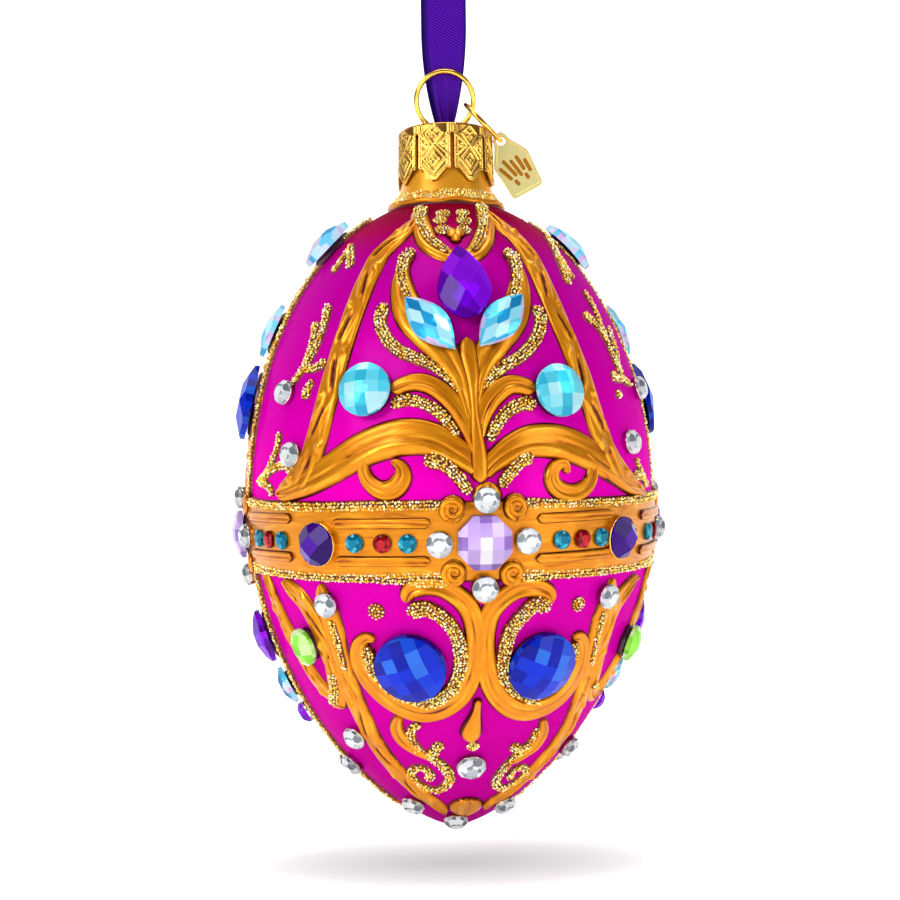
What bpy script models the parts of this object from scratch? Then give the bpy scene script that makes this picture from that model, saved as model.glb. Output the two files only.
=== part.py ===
"""Jewelled egg: a hanging ornament of blown glass, with a cap, a wire ring, a ribbon and glued stones.

Metres, +Z up. The origin is where the ornament hangs: inside the top of the ribbon's loop.
The viewer who faces the hanger looks along +Y. The decoration is turned a little against the hanger.
"""
from math import atan2, cos, degrees, hypot, pi, radians, sin, sqrt

import bmesh
import bpy
from mathutils import Matrix, Vector

MM = 0.001
GAP = 0.0003                    # clearance between pieces that touch

# Glass
EGG_RADIUS = 0.0290             # greatest radius of the glass
LOWER_HEIGHT = 0.0478           # from the tip up to the widest place
UPPER_HEIGHT = 0.0433           # half axis of the upper half ellipse
SHOULDER_RADIUS = 0.0083        # where the neck grows out of the egg
NECK_RADIUS = 0.0061
NECK_HEIGHT = 0.0112            # from the shoulder to the rim of the neck
NECK_FLARE = 0.0032             # height of the flare at the foot of the neck
BEAD_RISE = 0.0006              # ring of beads round the foot of the neck
GLASS_WALL = 0.0010
TIP_POWER = 1.4                 # 1 would be an ellipse, more is more pointed

# Enamel on the glass
RELIEF = 0.0007                 # height of the enamel above the glass
EMBED = 0.0004                  # depth of an enamel strip's foot in the glass
SLANT = 0.0002                  # how far a strip's side leans in
STRIP_LEAST = 0.0002            # least half width of a strip's top
BELT_BOTTOM, BELT_TOP = 38.4, 48.2
DECORATION_TURN = radians(8.4)  # the front panel against the hanger

# Cap
CAP_RADIUS = 0.0067
CAP_WALL = 0.0003
CAP_SKIRT = 0.0066              # from the top to the notches of the skirt
CAP_POINT = 0.0017              # how far the points hang below the notches
CAP_BAND = 0.0015               # uncut band above the slits
CAP_ROUND = 0.0004              # chamfer of the top edge
CAP_EASE = 0.0001               # rise of the skirt's edge beside a slit
CAP_PANELS = 8
SLIT_WIDTH = 0.0005

# Wire ring, its legs, jump ring and tag
WIRE_RADIUS = 0.000375
RING_RADIUS = 0.00415           # centre line of the ring
RING_OPEN = radians(30)         # half angle of the ring's open foot
RING_LEAN = radians(15)         # the ring leans forward, off the ribbon
RING_FOOT = 0.0009              # foot of the ring above the cap
LEG_SPREAD = 0.0019             # half distance of the legs in the cap
LEG_DEPTH = 0.0080              # length of the spring legs below the cap
LEG_TUCK = 0.0002               # the legs' ends turn in a little
JUMP_RADIUS = 0.00365
JUMP_WIRE = 0.00035
JUMP_PLACE = radians(98)        # where it hangs on the ring, from the top
TAG_LENGTH, TAG_WIDTH, TAG_THICKNESS = 0.0098, 0.0055, 0.0009
TAG_SHOULDER = 0.0030           # from the eye to the widest place
TAG_TAPER = 0.84                # width at the base against the widest
TAG_SWING = radians(28)         # the tag leans out to the right
TAG_HOLE = 0.0007               # radius of the tag's hole
TAG_RIM = 0.0007                # metal round the hole
TAG_CORNER = (0.0006, 0.0012)   # width and height of the bevelled corners
TAG_SLOT = (0.0007, 0.0026)     # width and length of a slot

# Ribbon
RIBBON_RISE = 0.0296            # from the cap's top to the inside of the loop
RIBBON_WIDTH = 0.0060
RIBBON_THICKNESS = 0.00035
RIBBON_FOOT_WIDTH = 0.0023      # the ribbon is gathered at the knot
RIBBON_TIED = 0.0014            # height above the cap up to which it is tied
RIBBON_GATHER = 0.0140          # length over which it widens from there
KNOT_HALF, KNOT_HEIGHT = 0.00115, 0.00095
KNOT_BAND = 0.0004
KNOT_INSET = 0.0001             # the band stands in from the knot's ends

# Stones: length, width and depth
PEAR_SIZE = (0.0110, 0.0072, 0.0018)
NAVETTE_SIZE = (0.0098, 0.0048, 0.0015)
TOP_NAVETTE_SIZE = (0.0084, 0.0042, 0.0020)
UPPER_NAVETTE_SIZE = (0.0080, 0.0042, 0.0015)
LOW_NAVETTE_SIZE = (0.0056, 0.0032, 0.0014)
ROUND_AQUA_SIZE = (0.0069, 0.0069, 0.0017)
ROUND_BLUE_SIZE = (0.0093, 0.0093, 0.0022)
DROP_SIZE = (0.0108, 0.0078, 0.0019)
PURPLE_OVAL_SIZE = (0.0078, 0.0060, 0.0019)
GREEN_OVAL_SIZE = (0.0052, 0.0042, 0.0014)
LILAC_SIZE = (0.0070, 0.0070, 0.0017)
CLEAR_SIZE = (0.0032, 0.0032, 0.0012)
CUP_SIZE = (0.0058, 0.0058, 0.0016)
STUD_RISE = 0.0015              # the smallest stones are fused to the glass
NAVETTE_TILT = 42               # how far the front navettes lean outwards, in degrees
FLAT_BACK_ROOM = 0.0002         # further clearance under a large flat back

CAP_TOP = -RIBBON_RISE
NECK_TOP = CAP_TOP - CAP_WALL - GAP
SHOULDER_RISE = UPPER_HEIGHT * sqrt(1 - (SHOULDER_RADIUS / EGG_RADIUS) ** 2)
SHOULDER = NECK_TOP - NECK_HEIGHT
WIDEST = SHOULDER - SHOULDER_RISE
TIP = WIDEST - LOWER_HEIGHT

# The ornament was drawn on an egg of these two heights, in millimetres above the tip
DRAWN_LOWER, DRAWN_UPPER = 47.8, 43.3

for old in list(bpy.data.objects):
    bpy.data.objects.remove(old, do_unlink=True)


def material(name, colour, roughness, metallic=0.0):
    """A plain Principled finish."""
    finish = bpy.data.materials.new(name)
    finish.use_nodes = True
    shader = finish.node_tree.nodes["Principled BSDF"]
    shader.inputs["Base Color"].default_value = (*colour, 1.0)
    shader.inputs["Roughness"].default_value = roughness
    shader.inputs["Metallic"].default_value = metallic
    finish.diffuse_color = (*colour, 1.0)
    return finish


LACQUER = material("magenta_lacquered_glass", (0.62, 0.0, 0.33), 0.2, 0.3)
BRASS = material("brass", (0.85, 0.52, 0.10), 0.25, 1.0)
SATIN = material("purple_satin", (0.08, 0.0, 0.30), 0.45)
GEM_COLOURS = {
    "purple": (0.19, 0.0, 0.60), "aqua": (0.04, 0.52, 0.75), "blue": (0.0, 0.03, 0.60),
    "lilac": (0.51, 0.31, 0.70), "green": (0.30, 0.79, 0.08), "clear": (0.85, 0.88, 0.90)}
GEM_FINISHES = {name: material("glass_" + name, colour, 0.08)
                for name, colour in GEM_COLOURS.items()}


def add_mesh(name, verts, faces, finish=None):
    """A new object from corners and faces, with its normals outwards."""
    mesh = bpy.data.meshes.new(name)
    mesh.from_pydata([tuple(v) for v in verts], [], faces)
    work = bmesh.new()
    work.from_mesh(mesh)
    bmesh.ops.recalc_face_normals(work, faces=work.faces)
    work.to_mesh(mesh)
    work.free()
    body = bpy.data.objects.new(name, mesh)
    bpy.context.scene.collection.objects.link(body)
    if finish:
        mesh.materials.append(finish)
    return body


def boolean(body, other, operation, overlaps=False):
    """Add or cut away another shape, which itself is no piece."""
    other.hide_render = True
    other.display_type = "WIRE"
    change = body.modifiers.new(operation.lower(), "BOOLEAN")
    change.object = other
    change.operation = operation
    change.solver = "EXACT"
    change.use_self = overlaps
    return body


def height(drawn):
    """World height of a drawn height in millimetres above the tip."""
    if drawn < DRAWN_LOWER:
        return TIP + LOWER_HEIGHT * drawn / DRAWN_LOWER
    return WIDEST + UPPER_HEIGHT * (drawn - DRAWN_LOWER) / DRAWN_UPPER


def glass_radius(z):
    """Outer radius of the glass egg at a world height."""
    if z < WIDEST:
        share = min(1.0, (WIDEST - z) / LOWER_HEIGHT)
        return EGG_RADIUS * (1 - share * share) ** (TIP_POWER / 2)
    share = min(1.0, (z - WIDEST) / UPPER_HEIGHT)
    return EGG_RADIUS * sqrt(1 - share * share)


def on_glass(turn, drawn):
    """Point, normal, sideways and upward direction of the glass at an angle and a drawn height."""
    z = height(drawn)
    step = 0.0001
    lean = (glass_radius(z + step) - glass_radius(z - step)) / (2 * step)
    angle = radians(turn) + DECORATION_TURN
    outward = Vector((sin(angle), -cos(angle), 0))
    side = Vector((cos(angle), sin(angle), 0))
    normal = (outward - Vector((0, 0, lean))).normalized()
    point = outward * glass_radius(z) + Vector((0, 0, z))
    return point, normal, side, normal.cross(side)


def turned(name, profile, segments, finish=None):
    """A turned solid from (radius, height) points; a radius of 0 is a pole."""
    verts, rings = [], []
    for radius, z in profile:
        if radius == 0:
            rings.append([len(verts)] * segments)
            verts.append((0, 0, z))
            continue
        rings.append([len(verts) + k for k in range(segments)])
        verts += [(radius * cos(2 * pi * k / segments), radius * sin(2 * pi * k / segments), z)
                  for k in range(segments)]
    faces = []
    for low, high in zip(rings, rings[1:]):
        for k in range(segments):
            corners = [low[k], low[(k + 1) % segments], high[(k + 1) % segments], high[k]]
            faces.append(list(dict.fromkeys(corners)))
    return add_mesh(name, verts, faces, finish)


# Egg of glass: outside from the tip to the neck, inside back down to the tip

OUTER_SEGMENTS, INNER_SEGMENTS = 28, 16


def lower_ring(angle, shrink=0.0):
    """Radius and height on the lower half; 90 degrees is the tip."""
    a = radians(angle)
    return ((EGG_RADIUS - shrink) * cos(a) ** TIP_POWER, WIDEST - (LOWER_HEIGHT - shrink) * sin(a))


def upper_ring(angle, shrink=0.0):
    a = radians(angle)
    return ((EGG_RADIUS - shrink) * cos(a), WIDEST + (UPPER_HEIGHT - shrink) * sin(a))


def belt_ring(drawn, rise=RELIEF):
    z = height(drawn)
    return glass_radius(z) + rise, z


def glass_egg():
    belt_angle = degrees(atan2(LOWER_HEIGHT - (height(BELT_BOTTOM) - TIP),
                               sqrt(LOWER_HEIGHT ** 2 - (WIDEST - height(BELT_BOTTOM)) ** 2)))
    shoulder_angle = degrees(atan2(SHOULDER_RISE, UPPER_HEIGHT * SHOULDER_RADIUS / EGG_RADIUS))
    outside = [(0, TIP)]
    outside += [lower_ring(angle) for angle in (82, 72, 61, 50, 39, 29, 20)]
    outside += [lower_ring(belt_angle), belt_ring(BELT_BOTTOM + 0.3), belt_ring(43.3),
                belt_ring(BELT_TOP - 0.3), belt_ring(BELT_TOP, 0.0)]
    outside += [upper_ring(shoulder_angle * step / 7) for step in range(1, 7)]
    neck_foot = SHOULDER + NECK_FLARE
    outside += [(SHOULDER_RADIUS, SHOULDER - BEAD_RISE / 2),
                (SHOULDER_RADIUS + BEAD_RISE, SHOULDER + BEAD_RISE / 2),
                (SHOULDER_RADIUS, SHOULDER + 2 * BEAD_RISE),
                ((SHOULDER_RADIUS + 2 * NECK_RADIUS) / 3, SHOULDER + NECK_FLARE * 0.6),
                (NECK_RADIUS, neck_foot), (NECK_RADIUS, NECK_TOP)]
    body = turned("egg_outside", outside + [(0, NECK_TOP)], OUTER_SEGMENTS)
    inner_neck = NECK_RADIUS - GLASS_WALL
    inner_shoulder = degrees(atan2(sqrt((EGG_RADIUS - GLASS_WALL) ** 2 - inner_neck ** 2), inner_neck))
    inside = [(0, TIP + 1.3 * GLASS_WALL)]
    inside += [lower_ring(angle, 1.3 * GLASS_WALL) for angle in (78, 62, 46, 30, 15)]
    inside += [upper_ring(inner_shoulder * step / 6, GLASS_WALL) for step in range(0, 7)]
    inside += [(inner_neck, NECK_TOP + GLASS_WALL), (0, NECK_TOP + GLASS_WALL)]
    return body, turned("egg_inside", inside, INNER_SEGMENTS)


# Enamel strips on the glass, drawn as (degrees from the panel's centre, millimetres above the tip)

def smooth(points, spacing):
    """Points about evenly spaced on a smooth curve through the drawn ones."""
    ends = [points[0]] + points + [points[-1]]
    curve = []
    for a, b, c, d in zip(ends, ends[1:], ends[2:], ends[3:]):
        wide = glass_radius(height((b[1] + c[1]) / 2)) / MM
        reach = hypot(radians(c[0] - b[0]) * wide, c[1] - b[1])
        count = max(1, round(reach / spacing))
        for k in range(count):
            t = k / count
            curve.append(tuple(
                0.5 * (2 * b[i] + (c[i] - a[i]) * t + (2 * a[i] - 5 * b[i] + 4 * c[i] - d[i]) * t * t
                       + (3 * b[i] - a[i] - 3 * c[i] + d[i]) * t ** 3) for i in (0, 1)))
    return curve + [points[-1]]


class Relief:
    """Collects the strips and studs that are made one with the glass."""

    def __init__(self):
        self.verts, self.faces = [], []

    def prism(self, feet, tops):
        start, count = len(self.verts), len(feet)
        self.verts += feet + tops
        self.faces.append([start + k for k in range(count)])
        self.faces.append([start + count + k for k in range(count)])
        for k in range(count):
            n = (k + 1) % count
            self.faces.append([start + k, start + n, start + count + n, start + count + k])

    def strip(self, centre, points, width, narrow=0.5, spacing=6.5, rise=RELIEF):
        """A raised strip along a drawn line, narrower at its ends."""
        line = smooth(points, spacing)
        frames = [on_glass(centre + turn, drawn) for turn, drawn in line]
        start = len(self.verts)
        for k, (point, normal, _, _) in enumerate(frames):
            ahead = frames[min(k + 1, len(frames) - 1)][0] - frames[max(k - 1, 0)][0]
            across = normal.cross(ahead).normalized()
            share = k / (len(frames) - 1)
            swell = narrow + (1 - narrow) * min(1.0, 2.2 * sin(pi * share))
            half = width * swell / 2
            foot, top = point - normal * EMBED, point + normal * rise
            low, high = half + SLANT, max(half - SLANT, STRIP_LEAST)
            self.verts += [foot - across * low, foot + across * low, top + across * high, top - across * high]
        self.faces.append([start, start + 1, start + 2, start + 3])
        last = len(self.verts) - 4
        self.faces.append([last + 3, last + 2, last + 1, last])
        for k in range(len(frames) - 1):
            here = start + 4 * k
            for side in range(4):
                n = (side + 1) % 4
                self.faces += [[here + side, here + 4 + side, here + 4 + n],
                               [here + side, here + 4 + n, here + n]]

    def stud(self, turn, drawn, radius, rise):
        """A small stone fused to the glass: a five-sided frustum."""
        point, normal, side, up = on_glass(turn, drawn)
        around = [side * cos(k * 2 * pi / 5) + up * sin(k * 2 * pi / 5) for k in range(5)]
        self.prism([point - normal * EMBED + d * radius for d in around],
                   [point + normal * rise + d * radius * 0.65 for d in around])


FRONT, RIGHT, BACK, LEFT = 0, 90, 180, -90

FACE_STRIPS = [                 # on the front and the back panel: points, width in metres, narrowing
    ([(-32, 88), (-27, 84.5), (-16, 81.8), (-5, 81), (8, 82.4), (18, 85), (24, 88)], 0.0020, 0.8),
    ([(-25, 81.6), (-27, 77.4), (-24.5, 73.5), (-19, 70.3), (-12.5, 68), (-4, 64)], 0.0026, 0.3),
    ([(19, 81.6), (19.5, 75.3), (16, 71.6), (8, 67.8), (-1, 63)], 0.0026, 0.3),
    ([(-3, 69.5), (-3, 61), (-1, 53), (0, 47)], 0.0036, 0.7),
    ([(-24, 62.6), (-14.5, 62.8), (-8, 60.5), (-3, 56)], 0.0022, 0.4),
    ([(15, 62.9), (8, 62.2), (3, 60.6), (-1, 56.5)], 0.0022, 0.4),
    ([(-1, 50), (-8.5, 55), (-21, 57), (-33, 55.5), (-43.5, 52.8), (-55, 48)], 0.0032, 0.8),
    ([(0, 50), (5, 54.5), (13.5, 56.7), (22.5, 56), (30, 53.8), (39, 50.7), (50, 48)], 0.0032, 0.8),
    ([(18.5, 36), (12, 36.5), (6, 34.6), (2, 30.5), (1.6, 25), (7.4, 21), (18.8, 19.2), (30, 19.7),
      (37, 23), (36, 27), (31.5, 29.5)], 0.0028, 0.6),
    ([(-20.6, 36.5), (-14, 37), (-8, 35), (-4, 30.5), (-3.5, 25), (-10, 20.8), (-24, 19.4), (-35, 21.6),
      (-38.5, 26.5), (-33.5, 30.5)], 0.0028, 0.6),
    ([(-1, 22.5), (-1.5, 17)], 0.0026, 0.6),
]
FACE_CURLS = [
    ([(-32, 55), (-30, 51.2), (-24, 48.9), (-18, 51.2), (-21.5, 53.4)], 0.0018, 0.7),
    ([(28, 54.5), (27, 50.6), (21.8, 48.9), (17.4, 51), (20.6, 53.2)], 0.0018, 0.7),
    ([(-21, 19), (-26, 16), (-21, 13.8), (-15, 11.4), (-19, 8.4), (-29, 8.6), (-29, 11.2)], 0.0018, 0.6),
    ([(24.5, 18.5), (27, 15), (19, 13.4), (14.5, 10.8), (19, 7.6), (29, 7.2), (33, 9.6)], 0.0018, 0.6),
]
SIDE_STRIPS = [                 # on the two side panels
    ([(0, 87), (0, 76), (0, 66)], 0.0030, 0.7),
    ([(0, 67), (0, 57), (0, 47.5)], 0.0062, 0.6),
    ([(0, 39), (0, 29), (0, 20), (0, 10), (0, 3)], 0.0030, 0.6),
    ([(-20, 38.5), (-26, 31.5), (-37, 24.5), (-47, 20)], 0.0022, 0.8),
    ([(20, 38.5), (26, 31.5), (37, 24.5), (47, 20)], 0.0022, 0.8),
]
RIBS = [                        # between the panels, from the neck down to the belt and on to the tip
    ([(-30, 87.5), (-38, 83.5), (-41.5, 76), (-42.5, 69), (-46, 61), (-48.5, 54.5), (-57, 48.5)], 0.0027, 0.9),
    ([(24, 88), (28.5, 80.5), (29.5, 75.5), (32, 68), (36.5, 61), (40, 53.5), (51, 48.5)], 0.0027, 0.9),
    ([(-46.5, 38), (-44, 31.5), (-44, 24), (-41, 17.5), (-37, 11.3), (-27, 5.4)], 0.0027, 0.8),
    ([(41, 38), (38.5, 31), (41.5, 23.5), (42, 17.7), (38.5, 12), (31, 5.5)], 0.0027, 0.8),
]
FACE_STUDS = [(-43.3, 35.2, 0.0018), (37.6, 35.4, 0.0018), (-1.2, 13, 0.0020), (-41, 5.9, 0.0014),
              (34, 5.4, 0.0014)]
SIDE_STUDS = [(30, 62.5, 0.0017), (-26, 62.8, 0.0017), (36.4, 54.3, 0.0017), (-42, 55.3, 0.0017),
              (0, 18, 0.0015), (0, 10.5, 0.0014), (39.8, 16.5, 0.0015), (-35, 13.4, 0.0015)]
FLAT_ANGLE = 4.0                # faces closer to flat than this are joined


def enamelled_egg():
    """The glass with its enamel relief and its smallest stones, hollow, with an open neck."""
    relief = Relief()
    for centre in (FRONT, BACK):
        for points, width, narrow in FACE_STRIPS:
            relief.strip(centre, points, width, narrow)
        for points, width, narrow in RIBS:
            relief.strip(centre, points, width, narrow, spacing=9.0)
        for points, width, narrow in FACE_CURLS:
            relief.strip(centre, points, width, narrow, spacing=4.5)
        for turn, drawn, radius in FACE_STUDS:
            relief.stud(centre + turn, drawn, radius, STUD_RISE)
    for centre in (RIGHT, LEFT):
        for points, width, narrow in SIDE_STRIPS:
            relief.strip(centre, points, width, narrow)
        for turn, drawn, radius in SIDE_STUDS:
            relief.stud(centre + turn, drawn, radius, STUD_RISE)
    strips = add_mesh("enamel_relief", relief.verts, relief.faces)
    outside, inside = glass_egg()
    outside.name = "egg_glass"
    outside.data.materials.append(LACQUER)
    boolean(outside, strips, "UNION", overlaps=True)
    boolean(outside, inside, "DIFFERENCE")
    flatten = outside.modifiers.new("flatten", "DECIMATE")
    flatten.decimate_type = "DISSOLVE"
    flatten.angle_limit = radians(FLAT_ANGLE)


# Stones: flat back, girdle, sloped crown and table

def outline(kind, length, width):
    """Corners of a stone seen from above, in metres; length runs up."""
    sides = {"round": 10, "octagon": 8, "hexagon": 6}.get(kind)
    if sides:
        return [(width / 2 * sin(2 * pi * (k + 0.5) / sides), length / 2 * cos(2 * pi * (k + 0.5) / sides))
                for k in range(sides)]
    shapes = {
        "navette": ((0, 1), (0.74, 0.5), (1, 0), (0.74, -0.5), (0, -1), (-0.74, -0.5), (-1, 0), (-0.74, 0.5)),
        "pear": ((0, 1), (0.62, 0.36), (1, -0.14), (0.72, -0.68), (0, -1), (-0.72, -0.68), (-1, -0.14),
                 (-0.62, 0.36))}
    return [(x * width / 2, y * length / 2) for x, y in shapes[kind]]


def stone(name, kind, colour, turn, drawn, size, seat, spin=0.0):
    """One stone, its flat back a seat's height above the glass."""
    length, width, depth = size
    point, normal, side, up = on_glass(turn, drawn)
    a = radians(spin)
    right, top = side * cos(a) - up * sin(a), side * sin(a) + up * cos(a)
    corners = outline(kind, length, width)
    verts = []
    for share, rise in ((1.0, 0.0), (1.0, 0.35 * depth), (0.58, depth)):
        verts += [point + normal * (seat + rise) + (right * x + top * y) * share for x, y in corners]
    n = len(corners)
    faces = [list(range(n)), [2 * n + k for k in range(n)]]
    for ring in (0, n):
        faces += [[ring + k, ring + (k + 1) % n, ring + n + (k + 1) % n, ring + n + k] for k in range(n)]
    return add_mesh(name, verts, faces, GEM_FINISHES[colour])


ON_ENAMEL = RELIEF + GAP
ON_GLASS = GAP + FLAT_BACK_ROOM


def face_stones(centre, place):
    """Pear, navettes, round aqua and round blue stones of the front or the back panel."""
    stone(f"pear_purple_{place}", "pear", "purple", centre - 3.5, 75.7, PEAR_SIZE, ON_ENAMEL)
    stone(f"navette_aqua_{place}_left", "navette", "aqua", centre - 13.5, 70.3, NAVETTE_SIZE, ON_ENAMEL,
          -NAVETTE_TILT)
    stone(f"navette_aqua_{place}_right", "navette", "aqua", centre + 6.8, 70.6, NAVETTE_SIZE, ON_ENAMEL,
          NAVETTE_TILT)
    stone(f"round_aqua_{place}_left", "round", "aqua", centre - 30.3, 62.2, ROUND_AQUA_SIZE, ON_ENAMEL)
    stone(f"round_aqua_{place}_right", "round", "aqua", centre + 21, 61.8, ROUND_AQUA_SIZE, ON_ENAMEL)
    stone(f"round_blue_{place}_left", "round", "blue", centre - 20.5, 27.4, ROUND_BLUE_SIZE, ON_GLASS)
    stone(f"round_blue_{place}_right", "round", "blue", centre + 17.8, 27.1, ROUND_BLUE_SIZE, ON_GLASS)


def side_stones(centre, place, top):
    """Column of stones on the right or the left side, with a green oval on each side of it."""
    stone(f"navette_top_{place}", "navette", "aqua", centre + top, 83.2, TOP_NAVETTE_SIZE, ON_ENAMEL)
    stone(f"navette_upper_{place}", "navette", "aqua", centre, 71.6, UPPER_NAVETTE_SIZE, ON_ENAMEL)
    stone(f"drop_blue_{place}", "pear", "blue", centre, 61.6, DROP_SIZE, ON_ENAMEL)
    stone(f"oval_purple_{place}", "octagon", "purple", centre, 29, PURPLE_OVAL_SIZE, ON_ENAMEL)
    stone(f"navette_low_{place}", "navette", "aqua", centre, 22, LOW_NAVETTE_SIZE, ON_ENAMEL)
    stone(f"oval_green_{place}_left", "octagon", "green", centre - 30, 28, GREEN_OVAL_SIZE, ON_ENAMEL)
    stone(f"oval_green_{place}_right", "octagon", "green", centre + 35, 29.4, GREEN_OVAL_SIZE, ON_ENAMEL)


def belt_group(centre, place):
    """A lilac stone on the belt with four clear ones round it."""
    stone(f"lilac_{place}", "octagon", "lilac", centre - 0.5, 43.3, LILAC_SIZE, ON_ENAMEL)
    for spot, turn, drawn in (("above", 0.1, 48.4), ("below", -0.3, 37.6), ("left", -11.2, 43.1),
                              ("right", 10.3, 43.3)):
        stone(f"clear_{place}_{spot}", "hexagon", "clear", centre + turn, drawn, CLEAR_SIZE, ON_ENAMEL)


def stones():
    for centre, place in ((FRONT, "front"), (BACK, "back")):
        face_stones(centre, place)
    for centre, place, top in ((RIGHT, "right", -5), (LEFT, "left", 8)):
        side_stones(centre, place, top)
    for centre, place in ((FRONT, "front"), (RIGHT, "right"), (BACK, "back"), (LEFT, "left")):
        belt_group(centre, place)
    for turn, place in ((40, "front_right"), (135, "back_right"), (-135, "back_left"), (-43.5, "front_left")):
        stone(f"cup_purple_{place}", "octagon", "purple", turn, 43, CUP_SIZE, ON_ENAMEL)


# Cap

def cap():
    """A cup with a skirt of pointed panels between slits, and two holes for the wire's legs."""
    slit = degrees(SLIT_WIDTH / CAP_RADIUS) / 2
    pitch = 360 / CAP_PANELS
    notch, point, band = CAP_TOP - CAP_SKIRT, CAP_TOP - CAP_SKIRT - CAP_POINT, CAP_TOP - CAP_BAND
    columns = [(slit, notch), (0.24 * pitch, notch + CAP_EASE), (0.43 * pitch, point), (0.57 * pitch, point),
               (0.76 * pitch, notch + CAP_EASE), (pitch - slit, notch)]
    angles, lows = [], []
    for panel in range(CAP_PANELS):
        for angle, low in columns:
            angles.append(radians(panel * pitch + angle) + DECORATION_TURN)
            lows.append(low)
    count, per = len(angles), len(columns)
    inner = CAP_RADIUS - CAP_WALL
    rows = [(CAP_RADIUS, None), (CAP_RADIUS, band), (CAP_RADIUS, CAP_TOP - CAP_ROUND),
            (CAP_RADIUS - CAP_ROUND, CAP_TOP), (inner, CAP_TOP - CAP_WALL), (inner, band), (inner, None)]
    verts = []
    for radius, z in rows:
        verts += [(radius * sin(a), -radius * cos(a), low if z is None else z) for a, low in zip(angles, lows)]
    faces = [[3 * count + k for k in range(count)], [4 * count + k for k in range(count)]]
    for row in range(6):
        if row == 3:
            continue
        for k in range(count):
            if row in (0, 5) and k % per == per - 1:
                continue
            n = (k + 1) % count
            faces.append([row * count + k, row * count + n, (row + 1) * count + n, (row + 1) * count + k])
    for k in range(count):
        n = (k + 1) % count
        if k % per != per - 1:
            faces.append([k, n, 6 * count + n, 6 * count + k])
            continue
        faces.append([count + k, count + n, 5 * count + n, 5 * count + k])
        faces.append([k, count + k, 5 * count + k, 6 * count + k])
        faces.append([n, count + n, 5 * count + n, 6 * count + n])
    body = add_mesh("cap", verts, faces, BRASS)
    for sign, side in ((-1, "left"), (1, "right")):
        bpy.ops.mesh.primitive_cylinder_add(vertices=8, radius=WIRE_RADIUS + GAP, depth=4 * CAP_WALL,
                                            location=(sign * LEG_SPREAD, 0, CAP_TOP - CAP_WALL / 2))
        hole = bpy.context.object
        hole.name = f"leg_hole_{side}"
        boolean(body, hole, "DIFFERENCE")


# Wire pieces

def wire(name, points, radius, sides, closed=False):
    """A round wire along points."""
    curve = bpy.data.curves.new(name, "CURVE")
    curve.dimensions = "3D"
    curve.bevel_depth = radius
    curve.bevel_resolution = (sides - 4) // 2
    curve.use_fill_caps = True
    line = curve.splines.new("POLY")
    line.points.add(len(points) - 1)
    for spot, place in zip(line.points, points):
        spot.co = (*place, 1.0)
    line.use_cyclic_u = closed
    curve.materials.append(BRASS)
    body = bpy.data.objects.new(name, curve)
    bpy.context.scene.collection.objects.link(body)
    return body


RING_CENTRE = RING_RADIUS * cos(RING_OPEN)          # above the ring's foot, along its lean


def on_ring(angle):
    """Point of the ring's centre line; 0 is the top, positive is to the right."""
    along = RING_CENTRE + RING_RADIUS * cos(angle)
    return Vector((RING_RADIUS * sin(angle), -along * sin(RING_LEAN),
                   CAP_TOP + RING_FOOT + along * cos(RING_LEAN)))


def wire_hanger():
    """Ring above the cap and two spring legs inside the neck."""
    leg_reach = NECK_RADIUS - GLASS_WALL - WIRE_RADIUS - 2 * GAP
    legs = [(leg_reach - LEG_TUCK, CAP_TOP - LEG_DEPTH), (leg_reach, CAP_TOP - 0.6 * LEG_DEPTH),
            (0.62 * leg_reach, CAP_TOP - 0.22 * LEG_DEPTH), (LEG_SPREAD, CAP_TOP - 3 * CAP_WALL),
            (LEG_SPREAD, CAP_TOP + RING_FOOT / 2)]
    left = [Vector((-x, 0, z)) for x, z in legs]
    right = [Vector((x, 0, z)) for x, z in reversed(legs)]
    steps = 18
    ring = [on_ring((RING_OPEN - pi) + (2 * pi - 2 * RING_OPEN) * k / steps) for k in range(steps + 1)]
    wire("wire_hanger", left + ring + right, WIRE_RADIUS, 6)


JUMP_DROP = Vector((0.68, 0, -0.733))               # from the ring down to the tag
JUMP_ACROSS = Vector((0.147, 0.98, 0.136))


def jump_centre():
    inside = on_ring(JUMP_PLACE) - Vector((WIRE_RADIUS + JUMP_WIRE + GAP, 0, 0))
    return inside + JUMP_DROP.normalized() * JUMP_RADIUS


def jump_ring():
    steps = 14
    drop, across = JUMP_DROP.normalized(), JUMP_ACROSS.normalized()
    points = [jump_centre() + (drop * cos(2 * pi * k / steps) + across * sin(2 * pi * k / steps)) * JUMP_RADIUS
              for k in range(steps)]
    wire("jump_ring", points, JUMP_WIRE, 6, closed=True)


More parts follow.
